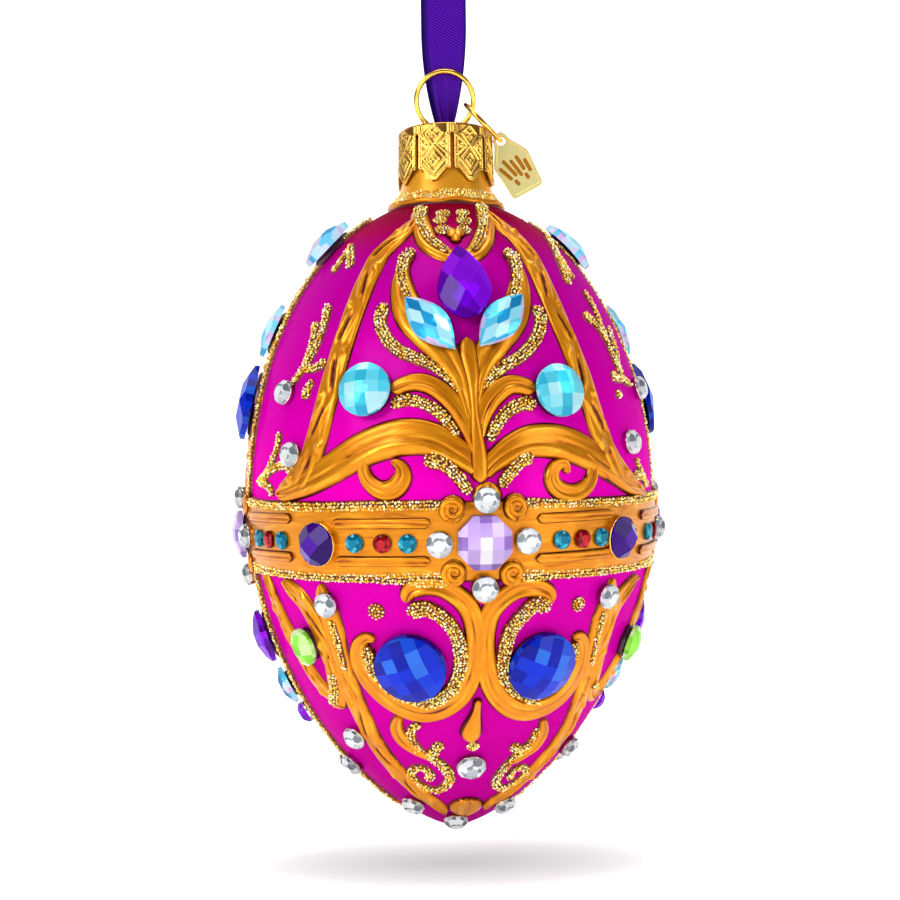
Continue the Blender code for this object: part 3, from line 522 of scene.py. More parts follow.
def flat_stroke(places, t, offset):
    """A laid-on stroke with two faint ridges left by the brush; painted shade darkens its crease and edges,
    painted highlight lightens the ridges.
    """
    first = 0.45 + 0.14 * np.sin(places / 1.9)
    second = -0.4 + 0.16 * np.sin(places / 2.6 + 1)
    crease = bump_at(t, 0.04 + 0.15 * np.sin(places / 3.1), 0.09)
    crest = bump_at(t, first, 0.22) + bump_at(t, second, 0.24)
    rise = RELIEF * brow(t) * (0.8 + 0.2 * crest - 0.28 * crease)
    return rise, 0.30 * crease + 0.42 * np.clip((np.abs(t) - 0.86) / 0.14, 0, 1) - 0.05 * crest


def looped_stroke(places, t, offset):
    """A rib piped in long loops: strings part round a slot, meet again and end in a round knob; painted
    shade darkens the slot, the crease and the edges, painted highlight lightens the strings and the knob.
    """
    turn = places / 6.4
    part = turn - np.floor(turn) - 0.5
    flip = np.where(np.floor(turn) % 2 == 0, 1.0, -1.0)
    drift = flip * (0.14 + 0.75 * part)
    slot = np.exp(-(part / 0.3) ** 4) * bump_at(t, drift, 0.14)
    lips = np.exp(-(part / 0.36) ** 4) * (bump_at(t, drift - 0.34, 0.17) + bump_at(t, drift + 0.34, 0.17))
    knob = np.exp(-((np.abs(part) - 0.5) * 6.4 / 0.55) ** 2) * bump_at(t, -0.5 * flip * np.sign(part), 0.26)
    crease = bump_at(t, 0.55 * np.sin(places / 2.2 + 1), 0.06) * 0.5
    edge = np.clip((np.abs(t) - 0.9) / 0.1, 0, 1)
    rise = RIB_RELIEF * brow(t) * (0.66 + 0.36 * lips + 0.5 * knob - 0.5 * slot - 0.2 * crease)
    return rise, 0.95 * slot + 0.4 * edge + 0.3 * crease - 0.1 * lips - 0.14 * knob


def corded_stroke(places, t, offset):
    """A stroke with one strong cord along its outer side and a groove beside it; painted shade darkens the
    grooves and edges, painted highlight lightens the cord.
    """
    cord = bump_at(t, -0.5 + 0.08 * np.sin(places / 2.3), 0.22)
    groove = bump_at(t, -0.12 + 0.1 * np.sin(places / 2.9), 0.08) + 0.7 * bump_at(t, 0.42, 0.07)
    rise = RELIEF * brow(t) * (0.78 + 0.34 * cord - 0.3 * groove)
    return rise, 0.34 * groove + 0.42 * np.clip((np.abs(t) - 0.88) / 0.12, 0, 1) - 0.06 * cord


def bead_stroke(places, t, offset):
    """A round string of enamel, darkened towards its sides by painted shade."""
    rise = RELIEF * np.sqrt(np.clip(1 - t ** 2, 0, 1))
    return rise, 0.95 * np.clip((np.abs(t) - 0.66) / 0.34, 0, 1) ** 2 + 0.0 * places


def glue_stroke(places, t, offset):
    """A low bed of glue."""
    rise = 0.16 * brow(t, 4) + 0.0 * places
    return rise, 0.0 * rise


# Drawn strokes: degrees from the panel's middle, millimetres above the tip, width in millimetres

FACE_FLAT = [
    [(-30, 88, 2.2), (-22.5, 85.5, 2.6), (-17, 82.8, 2.8), (-11, 81.2, 2.5), (-5, 80.4, 2.0),
     (2, 80.8, 2.5), (7.5, 82.6, 2.8), (13.5, 85.1, 2.6), (21, 87.8, 2.2)],
    [(-23, 81.2, 0.6), (-25.5, 78.8, 1.8), (-24, 75.6, 3.2), (-20, 72.3, 4.2), (-14.5, 69.6, 4.0),
     (-9.7, 67.2, 3.6), (-6.2, 64.6, 2.6), (-4.3, 61.7, 1.6), (-3, 58.5, 1.0)],
    [(19.5, 81.1, 0.6), (19.6, 78.5, 1.8), (17, 75.3, 3.2), (12.3, 71.9, 4.0), (6.4, 69, 4.0),
     (1.7, 66.4, 3.4), (-0.6, 63.8, 2.4), (-1.4, 61, 1.5), (-2, 58, 1.0)],
    [(-28.2, 19.8, 0.9), (-30.7, 17.9, 1.8), (-29.8, 16.1, 2.0), (-26, 14.7, 1.5), (-20.6, 13.5, 0.8)],
    [(27.2, 18.4, 0.9), (30.5, 16.3, 1.7), (30.3, 14.3, 1.8), (26.4, 13.1, 1.4), (21, 12.1, 0.8)],
    [(-46, 37.6, 0.5), (-46.3, 36.3, 2.2), (-45.6, 34.6, 3.0), (-45, 32.4, 3.4), (-44.9, 29.7, 3.2),
     (-44.7, 26.9, 2.8), (-44.6, 24.3, 2.8)],
    [(42, 37.3, 0.5), (42.4, 35.9, 2.2), (41.9, 34.3, 3.0), (40.4, 32, 3.4), (40.4, 29.2, 3.2),
     (41, 26.4, 2.8), (42.2, 23.7, 2.8)],
    [(-50, 27.5, 1.4), (-50.5, 24.5, 2.8), (-52.5, 21.6, 3.0), (-57, 20.2, 1.8)],
    [(46, 27.5, 1.4), (47.5, 24, 2.4), (50, 21.4, 2.6), (55, 20, 1.8)],
]
FACE_CORDED = [
    [(-0.6, 51.6, 1.6), (-3.5, 53.3, 2.8), (-8, 54.9, 3.6), (-13.4, 56.2, 4.2), (-19.8, 56.5, 4.6),
     (-26.3, 55.9, 4.6), (-33.2, 54.6, 4.4), (-40.5, 52.7, 4.0), (-48, 51, 3.6), (-56, 49.6, 2.6),
     (-61, 48.8, 1.4)],
    [(58.9, 48.6, 1.4), (50, 49.6, 2.4), (40.6, 51.7, 3.4), (33.4, 53.5, 4.0), (26.6, 54.9, 4.4),
     (19.5, 55.7, 4.4), (12.8, 55.7, 4.0), (7.3, 54.7, 3.4), (2.5, 53.1, 2.6), (-0.4, 51.3, 1.6)],
    [(-1.7, 54.1, 1.2), (-3.1, 56.6, 1.8), (-5, 58.9, 2.2), (-8, 61, 2.4), (-11.8, 62.6, 2.4),
     (-16.1, 63.4, 2.3), (-20.5, 63.2, 2.1), (-24, 62.3, 2.0)],
    [(15.4, 62.2, 2.2), (11.7, 62.9, 2.3), (7.8, 62.9, 2.5), (4, 61.7, 2.6), (1.3, 60, 2.3),
     (-0.2, 58, 1.8), (-0.8, 56, 1.2)],
    [(-30.9, 30.5, 0.8), (-34, 30.5, 1.5), (-36.9, 29.2, 2.3), (-38, 26.9, 2.7), (-35.2, 24.1, 3.0),
     (-29.2, 21.7, 3.1), (-21, 20.4, 3.1), (-12.7, 20.9, 3.0), (-6.1, 22.8, 2.8), (-2.9, 25.7, 2.7),
     (-1.9, 28.8, 2.6), (-2.1, 31.9, 2.6), (-3.8, 34.4, 2.6), (-6.9, 36.2, 2.6), (-11.2, 37.4, 2.5),
     (-15.6, 37.6, 2.4), (-19.5, 37, 2.2), (-21, 35.6, 1.3)],
    [(19.7, 35, 1.3), (18.1, 36.3, 2.1), (13.9, 37, 2.4), (8.8, 36.8, 2.5), (4.6, 35.6, 2.6),
     (1.8, 33.8, 2.6), (0.7, 31.3, 2.6), (1, 28.4, 2.6), (2.7, 25.3, 2.8), (6.3, 22.6, 2.9),
     (12.8, 20.5, 3.0), (21.1, 19.9, 3.1), (29.4, 20.8, 3.1), (34.8, 22.9, 3.0), (36.4, 25.6, 2.8),
     (35.1, 28.1, 2.4), (32.2, 29.7, 1.7), (29.3, 29.8, 0.8)],
    [(-30.1, 54.7, 1.2), (-31.3, 53.1, 1.5), (-30, 51.1, 1.9), (-26.4, 49.8, 2.3), (-22.8, 50, 2.6),
     (-20.7, 51.3, 2.4), (-21, 52.7, 1.6), (-23.3, 53.5, 0.8)],
    [(29.1, 53.9, 1.2), (32, 52.2, 1.7), (30.6, 50.1, 2.0), (25.7, 48.9, 2.4), (20.7, 49.4, 2.4),
     (18.5, 50.8, 2.2), (19.5, 52.3, 1.7), (22.6, 52.8, 1.1), (23.1, 51.5, 0.8)],
]
FACE_STRINGS = [
    [(-3.1, 69, 2.1), (-2.8, 67.3, 2.4), (-2.1, 64.6, 2.0), (-1.9, 62, 1.4), (-1.8, 59.5, 1.2),
     (-1.5, 57.2, 1.6), (-1.1, 55, 2.0), (-1, 53.3, 2.2), (-0.9, 50.6, 2.0)],
    [(-0.2, 22.2, 0.9), (-0.6, 20.3, 1.2), (-1.3, 18.6, 2.2), (-1.8, 17.2, 2.8), (-1.5, 16, 1.8)],
]
RIBS = [
    [(-27.8, 86.4, 1.8), (-33.5, 83.8, 2.3), (-38.4, 81.3, 2.6), (-39.8, 78, 2.8), (-40.6, 74.4, 2.9),
     (-41.5, 70.6, 2.9), (-42.5, 66.9, 3.0), (-43.9, 63, 3.1), (-45.4, 59.2, 3.1), (-47, 55.7, 3.3),
     (-49.5, 52.8, 3.6), (-54.5, 50.5, 3.4), (-61.6, 49, 2.0)],
    [(21.5, 87.6, 1.8), (26.1, 85.2, 2.2), (29, 82.9, 2.5), (29.3, 79.6, 2.7), (29.1, 75.8, 2.8),
     (29.8, 71.9, 2.9), (31.2, 68.2, 2.9), (32.9, 64.5, 3.0), (34.3, 60.8, 3.0), (36.3, 57.1, 3.1),
     (39, 54.1, 3.3), (44.5, 51.3, 3.2), (54.3, 49, 2.0)],
    [(-44.7, 27.5, 1.8), (-44.6, 24.3, 2.7), (-44.8, 21.7, 2.8), (-44.5, 18.8, 2.7), (-44.2, 15.5, 2.6),
     (-42.5, 12.4, 2.6), (-38.6, 9, 2.4), (-31.2, 6.2, 2.0), (-20, 3.6, 1.4)],
    [(40.8, 27.5, 1.8), (42.2, 23.7, 2.7), (44.2, 21, 2.8), (46.1, 18, 2.7), (46.6, 15.3, 2.6),
     (45.5, 12.4, 2.6), (41.7, 9.5, 2.4), (33.8, 6.8, 2.0), (22, 4.2, 1.4)],
    [(-63, 37.5, 0.8), (-59.9, 36.5, 2.0), (-55.6, 35.1, 2.4), (-52.3, 32.8, 2.5), (-50.4, 30.4, 2.6),
     (-49.6, 27.8, 2.8), (-48, 25, 2.8), (-45.5, 21, 1.8)],
    [(57.6, 37, 0.8), (53.2, 35.7, 2.0), (48.8, 34.3, 2.4), (46, 32, 2.5), (45.3, 29.6, 2.6),
     (44.8, 26.9, 2.8), (44.6, 24.3, 2.6), (45, 21, 1.8)],
]
SIDE_COLUMNS = [
    [(0, 88, 1.6), (0, 84, 4.2), (0, 79, 2.6), (0, 76, 2.4), (0, 72, 4.0), (0, 68, 4.4)],
    [(0, 68, 4.4), (0, 62, 6.4), (0, 55, 6.0), (0, 48, 7.0)],
    [(0, 38.8, 7.0), (0, 34, 6.0), (0, 28, 5.2), (0, 22, 4.4), (0, 16, 3.4), (0, 10, 3.0), (0, 5, 2.4),
     (0, 2.4, 1.2)],
    [(-18, 38.6, 1.6), (-22, 34, 2.4), (-27, 29, 2.6), (-31, 24.5, 2.6), (-37, 22, 2.2), (-42, 21, 1.6)],
    [(18, 38.6, 1.6), (22, 34, 2.4), (27, 29, 2.6), (31, 24.5, 2.6), (37, 22, 2.2), (42, 21, 1.6)],
]
FACE_GLITTER = [
    [(-30, 88.6, 1.9), (-27, 87.3, 1.6), (-22.5, 85.5, 1.2), (-17.2, 83.4, 1.2), (-12.2, 82, 1.2),
     (-8, 81, 1.0)],
    [(24, 88.8, 1.7), (17.3, 87.3, 1.4), (12, 85.3, 1.2), (6.8, 82.9, 1.2), (2.3, 81.2, 1.0)],
    [(-22, 81.2, 1.9), (-25.5, 80.6, 1.6), (-25.6, 78.4, 1.3), (-23.8, 76.5, 1.2), (-21, 74.6, 1.0)],
    [(16, 81.2, 1.9), (19.6, 80.6, 1.6), (18.6, 78.3, 1.3), (16.1, 76.1, 1.2), (13, 74.4, 1.0)],
    [(-28.6, 73.8, 1.9), (-29.8, 72.8, 1.7), (-29.3, 70.9, 1.5), (-26.1, 68.8, 1.5), (-21.9, 67.3, 1.5),
     (-16.3, 66.2, 1.4), (-11.3, 65.1, 1.4), (-7.3, 63.4, 1.3), (-5.6, 62, 1.1)],
    [(20.2, 73.3, 1.9), (21.9, 72.1, 1.7), (20.2, 70.1, 1.5), (16.3, 68, 1.5), (11.6, 66.4, 1.5),
     (6.5, 65.1, 1.4), (2.3, 63.5, 1.4), (0.4, 62, 1.1)],
    [(-23.1, 60.1, 1.9), (-22.1, 60.8, 1.5), (-18.9, 61.1, 1.4), (-15, 60.6, 1.3), (-11.1, 59.4, 1.3),
     (-8.3, 57.8, 1.2), (-6.4, 56.2, 1.0)],
    [(14.8, 60.1, 1.8), (12, 60.5, 1.6), (8, 59.8, 1.5), (5.1, 58.6, 1.4), (2.8, 57, 1.3),
     (1.6, 55.7, 1.0)],
    [(-14.6, 52.9, 1.9), (-11.9, 53.5, 1.9), (-9, 52.6, 1.5), (-6.1, 51.1, 1.4), (-3.7, 49.3, 1.2)],
    [(12.9, 53.9, 1.8), (9.5, 53, 1.5), (6.3, 51.4, 1.4), (4.1, 50, 1.2)],
    [(-20.2, 34.3, 1.9), (-15.6, 34.7, 1.8), (-10.9, 33.5, 1.6), (-7.5, 31.3, 1.6), (-6.2, 28.6, 1.6),
     (-6.7, 25.9, 1.6), (-9.5, 23.6, 1.6), (-15.5, 22.1, 1.6), (-21.6, 22.4, 1.6), (-27.8, 23.5, 1.5),
     (-31.9, 25.4, 1.5), (-34.2, 27.4, 1.6), (-33.8, 29.5, 1.6)],
    [(18.4, 34, 1.9), (15.1, 35, 1.8), (10.8, 33.4, 1.6), (7.7, 31.3, 1.6), (6.5, 28.6, 1.6),
     (6.9, 25.9, 1.5), (10.5, 23.7, 1.4), (16.7, 22.1, 1.3), (22.2, 21.4, 1.1)],
    [(29.3, 29.1, 0.9), (31.2, 27.7, 1.0), (31, 26.4, 0.8)],
    [(-20.6, 18.9, 1.0), (-24, 18.1, 1.1), (-25.3, 16.6, 1.2), (-23.5, 15, 1.2), (-19, 13.8, 1.2),
     (-13.8, 12.4, 1.3), (-10.9, 10.5, 1.3), (-14.2, 8.9, 1.2), (-21.4, 8.1, 1.2), (-28.7, 9.1, 1.1),
     (-31.6, 10.6, 1.1), (-27.7, 11.9, 1.0), (-22.8, 11.8, 1.0), (-20.7, 10.6, 1.0), (-24.3, 10.2, 0.9)],
    [(-19, 13.8, 1.2), (-15.4, 15.4, 1.3), (-13.2, 16.1, 1.4)],
    [(25.3, 17.3, 1.0), (25.5, 15.5, 1.2), (21.6, 14, 1.2), (17.6, 12.1, 1.2), (15.2, 10, 1.2),
     (17.4, 8.5, 1.2), (25.8, 7.8, 1.2), (32.3, 8.9, 1.1), (33.5, 10.3, 1.1), (25.6, 11.2, 1.0),
     (22.8, 10.2, 1.0), (24.4, 9.3, 0.9)],
    [(21.6, 14, 1.2), (17.6, 14.8, 1.3), (15.8, 15.2, 1.4)],
    [(-44.5, 32.8, 1.2), (-43.9, 31.2, 1.0), (-43.6, 29.3, 0.9), (-43.5, 27.4, 0.8), (-43.8, 25.8, 0.6)],
    [(40.5, 33, 1.2), (40, 31.2, 1.0), (39.8, 29.3, 0.9), (40.1, 27.6, 0.8), (41.2, 25.7, 0.6)],
    [(-50.2, 25.2, 1.3), (-51.5, 23.4, 1.5), (-54.1, 21.7, 1.5), (-57, 20.5, 1.3)],
    [(48.8, 22.8, 1.3), (50.5, 21.6, 1.4)],
    [(-62, 83.2, 1.6), (-55, 81.4, 1.3), (-50.7, 79.6, 1.6)],
    [(-60, 82.5, 1.2), (-60, 80.8, 1.2), (-60.6, 79.2, 1.4)],
    [(-53.4, 74.4, 1.8), (-51.8, 72.6, 1.5), (-51.6, 69.9, 1.2), (-53.1, 67.5, 1.2), (-56.6, 65.4, 1.2),
     (-60, 63.6, 1.0)],
    [(-56.2, 72.1, 1.8), (-55, 70.2, 1.3), (-54.9, 67.8, 1.2), (-55.6, 66.2, 1.1)],
    [(-46.5, 66.6, 1.9), (-49.3, 65.9, 1.3), (-52.7, 65.7, 1.2), (-55.4, 65.8, 1.1)],
    [(-50.2, 64.1, 1.5), (-52, 62.9, 1.6), (-52.2, 61.6, 2.0)],
    [(-62, 57.4, 1.5), (-62.4, 55.8, 1.2), (-64.5, 53.8, 1.2), (-68.6, 51.9, 1.1), (-73, 50.8, 1.1)],
    [(-54.2, 52, 2.1), (-57, 53, 1.5), (-63.6, 52.6, 1.2), (-71, 51, 1.1)],
    [(-74, 50.8, 1.1), (-67, 50.2, 1.2), (-63.8, 49, 1.4)],
    [(58, 84.6, 1.6), (50, 82, 1.3), (46.2, 80.5, 1.2), (42.1, 77.1, 1.6)],
    [(50, 81.6, 1.2), (47.8, 79.6, 1.1), (47.4, 77.9, 1.3)],
    [(51.1, 76.3, 1.4), (52.1, 74.3, 1.2), (51.2, 71.6, 1.2), (51.4, 69.5, 1.2)],
    [(42.3, 72.8, 1.8), (47.6, 71.6, 1.4), (50.8, 69.3, 1.2), (51.9, 66.7, 1.2), (54.5, 64.1, 1.1),
     (60, 63.4, 1.0)],
    [(57, 71.4, 1.4), (55.8, 68.9, 1.2), (54.2, 66.6, 1.1), (53, 65.2, 1.0)],
    [(46.6, 64.5, 2.0), (50.6, 64.1, 1.3), (54, 64, 1.1)],
    [(47.6, 62.3, 1.7), (48.8, 61.4, 1.7)],
    [(53.1, 53.2, 1.3), (56.4, 51.2, 1.2), (61, 49.2, 1.2)],
    [(51, 51, 1.8), (57.1, 50.6, 1.2), (61, 49.4, 1.1)],
]
SIDE_GLITTER = [
    [(side * 12, 87.4, 1.2), (side * 9, 82, 1.0), (side * 7.5, 76, 1.0), (side * 7.6, 70, 1.0),
     (side * 8.6, 64, 1.1), (side * 8.4, 56, 1.1), (side * 7.6, 48.4, 1.1)] for side in (-1, 1)
] + [
    [(side * 7, 38.2, 1.1), (side * 6.4, 32, 1.1), (side * 6.4, 24, 1.0), (side * 6.6, 16, 1.0),
     (side * 8, 9, 0.9), (side * 11, 4.6, 0.8)] for side in (-1, 1)
]
BUD = [(-6, 83.3, 1.7), (-3.2, 83.3, 1.7), (-4.6, 82.5, 1.4)]
SPARKLE_DOTS = [(-29.4, 34.3, 1.0), (28.7, 34.4, 0.9)]
ROSETTES = [(-10.9, 87.4, 0.95), (-12.3, 86.2, 0.85), (-10.4, 84.6, 0.95), (3, 87.5, 0.85), (2, 86.1, 0.95),
            (0.2, 84.5, 0.9), (-0.8, 15.4, 0.7)]
GLITTER_ON_GOLD = (0, 1, 2, 3, 8, 9, 10, 11, 12, 17, 18, 19, 20)
FLANK_GLITTER = 21              # from this line on they lie on the flanks and are finer
FLANK_SPREAD = 0.8

# Belt
BELT_MIDDLE, BELT_WIDTH = 43.3, 9.9
BELT_BARS = [(-40.3, -13.6, 45.5), (-40.0, -13.8, 40.7), (14.0, 39.4, 45.9), (13.8, 39.0, 40.8)]
BELT_RISE = 0.9                 # height of the bars' and coils' tops above the glass
COILS = [(-8, 47.3), (8.2, 47.4), (-7.8, 39.3), (7.4, 39.1)]
COIL_WIDTH, DAB_SIZE = 0.85, 3.6
BELT_DABS = [(0.6, 48.9), (0.2, 37.2)]      # enamel under the clear stones above and below the belt
CHIPS = [(-32.8, "zircon"), (-25.4, "red"), (-19.0, "zircon"), (19.9, "zircon"), (26.2, "red"),
         (32.6, "zircon")]


LIP = 0.2                       # rounding of the neck's rim
PAINT_EDGE = 0.7                # the gold paint starts this far above the shoulder
NECK_PROFILE = [(8.3, 89.3), (7.6, 89.9), (7.2, 90.7), (6.95, 91.6), (6.68, 92.6), (6.3, 93.8), (6.15, 95),
                (6.1, 96)]


def glass_shell():
    """The blown egg: an outer and an inner skin spun round the axis, open at the neck."""
    outer = [(0.0, 0.0)]
    for k in range(1, 41):
        a = pi / 2 * (1 - k / 40)
        outer.append((WIDE * cos(a) ** TIP_POWER, LOWER - LOWER * sin(a)))
    top = atan2(SHOULDER - LOWER, UPPER * SHOULDER_RADIUS / WIDE)
    for k in range(1, 36):
        a = top * k / 35
        outer.append((WIDE * cos(a), LOWER + UPPER * sin(a)))
    neck_top = NECK_TOP - TIP
    outer += NECK_PROFILE + [(NECK_RADIUS, neck_top - LIP), (NECK_RADIUS - LIP, neck_top)]
    inner = [(max(r - WALL, 0.0), h if h > 4 else h + WALL) for r, h in outer[::-1] if r > WALL + 0.2]
    profile = outer + [(NECK_RADIUS - WALL + LIP, neck_top)] + inner[1:] + [(0.0, 1.5 * WALL)]
    bpy.ops.mesh.primitive_plane_add(size=1)
    body = bpy.context.object
    bpy.ops.object.mode_set(mode="EDIT")
    bpy.ops.mesh.merge(type="CENTER")
    work = bmesh.from_edit_mesh(body.data)
    here = work.verts[:][0]
    here.co = (0.0, 0.0, TIP * MM)
    bmesh.update_edit_mesh(body.data)
    place = Vector((0, 0, TIP * MM))
    for r, h in profile[1:]:
        target = Vector((r * MM, 0, (TIP + h) * MM))
        bpy.ops.mesh.extrude_region_move(TRANSFORM_OT_translate={"value": target - place})
        place = target
    bpy.ops.mesh.select_all(action="SELECT")
    bpy.ops.mesh.spin(steps=120, angle=2 * pi, center=(0, 0, 0), axis=(0, 0, 1))
    bpy.ops.mesh.select_all(action="SELECT")
    bpy.ops.mesh.remove_doubles(threshold=0.00002)
    bpy.ops.mesh.normals_make_consistent(inside=False)
    bpy.ops.object.mode_set(mode="OBJECT")
    body.name = body.data.name = "blown_glass_egg"
    body.data.materials.append(LACQUER)
    body.data.materials.append(PAINT)
    neck = (TIP + SHOULDER + PAINT_EDGE) * MM
    for face in body.data.polygons:
        face.material_index = 1 if face.center.z > neck else 0
    body.data.shade_smooth()
    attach(body, ROOT)
    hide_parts("egg_glass")


def enamel():
    """The strokes of gold enamel on both panels and on the side columns, one piece each."""
    for centre, place in ((FRONT, "front"), (BACK, "back")):
        strokes = Strokes()
        shift = 3.0
        for lines, shape, samples, base in (
                (FACE_FLAT, flat_stroke, 15, 0.0), (RIBS, looped_stroke, 19, 0.0),
                (FACE_CORDED, corded_stroke, 17, 0.06), (FACE_STRINGS, bead_stroke, 11, 0.3)):
            for points in lines:
                shift += STREAK_SHIFT
                rows = seen(points, RELIEF + base)
                if shape is looped_stroke:
                    rows[:, 2] *= RIB_SPREAD
                strokes.add(centre, rows, shape, samples=samples, base=base, shift=shift)
        for turn, drawn, size in BUD:
            dab(strokes, centre + turn, drawn, size, 0.1)
        dab(strokes, centre, *TIP_DAB, 0.15, flat_stroke)
        strokes.make("enamel_scrolls_" + place, ENAMEL)
    for centre, place in ((RIGHT, "right"), (LEFT, "left")):
        strokes = Strokes()
        for k, points in enumerate(SIDE_COLUMNS):
            strokes.add(centre, points, looped_stroke, samples=21 if k < 3 else 13, shift=5.1 * k)
        strokes.make("enamel_column_" + place, ENAMEL)


def dab(strokes, turn, drawn, size, base=0.0, shape=bead_stroke):
    """A round dab of enamel."""
    half = size * 0.49 / sqrt(1 + float(lean(drawn)) ** 2)
    strokes.add(0, [(turn, drawn + shift, size) for shift in (-half, 0, half)], shape, step=0.2, base=base,
                shift=turn)


def belt_ground(places, t, offset):
    """The flat ground of the belt, a little wavy, its edges rolled and darkened by painted shade."""
    wave = 0.03 * np.sin(places / 2.1 + 3 * t) + 0.02 * np.sin(places / 0.9)
    rise = 0.5 * brow(t, 14) * (1 + wave)
    return rise, 0.05 + 0.03 * np.sin(places / 5 + 2 * t) + 0.3 * np.clip((np.abs(t) - 0.93) / 0.07, 0, 1)


def bar_stroke(places, t, offset):
    """A raised bar with a shallow trough and knobbed ends; painted shade darkens the trough and the edges.
    """
    trough = bump_at(t, 0.0, 0.28)
    rise = 0.6 * brow(t, 4) * (1 - 0.22 * trough) + 0.0 * places
    return rise, 0.22 * trough + 0.95 * np.clip((np.abs(t) - 0.74) / 0.26, 0, 1)


def belt():
    """The gold belt with its bars and coiled buttons."""
    strokes = Strokes()
    ring = [(a, BELT_MIDDLE, BELT_WIDTH) for a in range(0, 361, 15)]
    strokes.add(0, ring, belt_ground, step=0.32, samples=33, closed=True)
    for centre in (FRONT, RIGHT, BACK, LEFT):
        for start, stop, drawn in BELT_BARS:
            bar = [(start, drawn, 1.6), (start + 3, drawn, 1.4), (stop - 3, drawn + 0.1, 1.4),
                   (stop, drawn, 1.7)]
            strokes.add(centre, seen(bar, BELT_RISE), bar_stroke, base=0.42, samples=13, shift=start)
        for turn, drawn, _ in seen([(*coil, 0) for coil in COILS], BELT_RISE):
            dab(strokes, centre + turn, drawn, DAB_SIZE, 0.1, bar_stroke)
            reach = glass_radius(drawn)
            spiral = [(turn + degrees(r * cos(a) / reach), drawn + r * sin(a), COIL_WIDTH)
                      for r, a in ((0.42 + 0.95 * k / 19, k * 0.56) for k in range(20))]
            strokes.add(centre, spiral, bead_stroke, step=0.2, samples=9, base=0.5, shift=turn)
        for turn, drawn in BELT_DABS:
            dab(strokes, centre + turn, drawn, DAB_SIZE, 0.0, flat_stroke)
    strokes.make("enamel_belt", ENAMEL)


# Glitter: grains scattered over a bed of glue

OCTAHEDRON = np.array([(1, 0, 0), (-1, 0, 0), (0, 1, 0), (0, -1, 0), (0, 0, 1), (0, 0, -1)], float)
OCTAHEDRON_FACES = np.array([(0, 2, 4), (2, 1, 4), (1, 3, 4), (3, 0, 4),
                             (2, 0, 5), (1, 2, 5), (3, 1, 5), (0, 3, 5)])
GRAIN_SIZE = 0.2                # half width of a grain
GRAIN_SPACING = 0.35
BED_TOP = 0.16                  # height of the glue, with the grains' middles on it
CROWN = 0.16                    # the grains are heaped up this much more along the middle of a line
ON_GOLD, ON_LACQUER = 0.52, 0.04            # foot of a glitter line above the glass
GRAIN_TOP = 0.25                # height of the grains' tops above that foot
BELT_EDGES = [                  # glitter along the belt's upper and lower edge
    [(10, 47.9, 1.3), (22, 47.7, 1.0), (45, 47.6, 1.1), (60, 47.8, 1.2), (80, 47.9, 1.1)],
    [(9, 38.9, 1.6), (22, 38.8, 1.1), (45, 38.7, 1.0), (60, 38.8, 1.1), (78, 38.7, 1.9), (81, 38.4, 1.5)]]


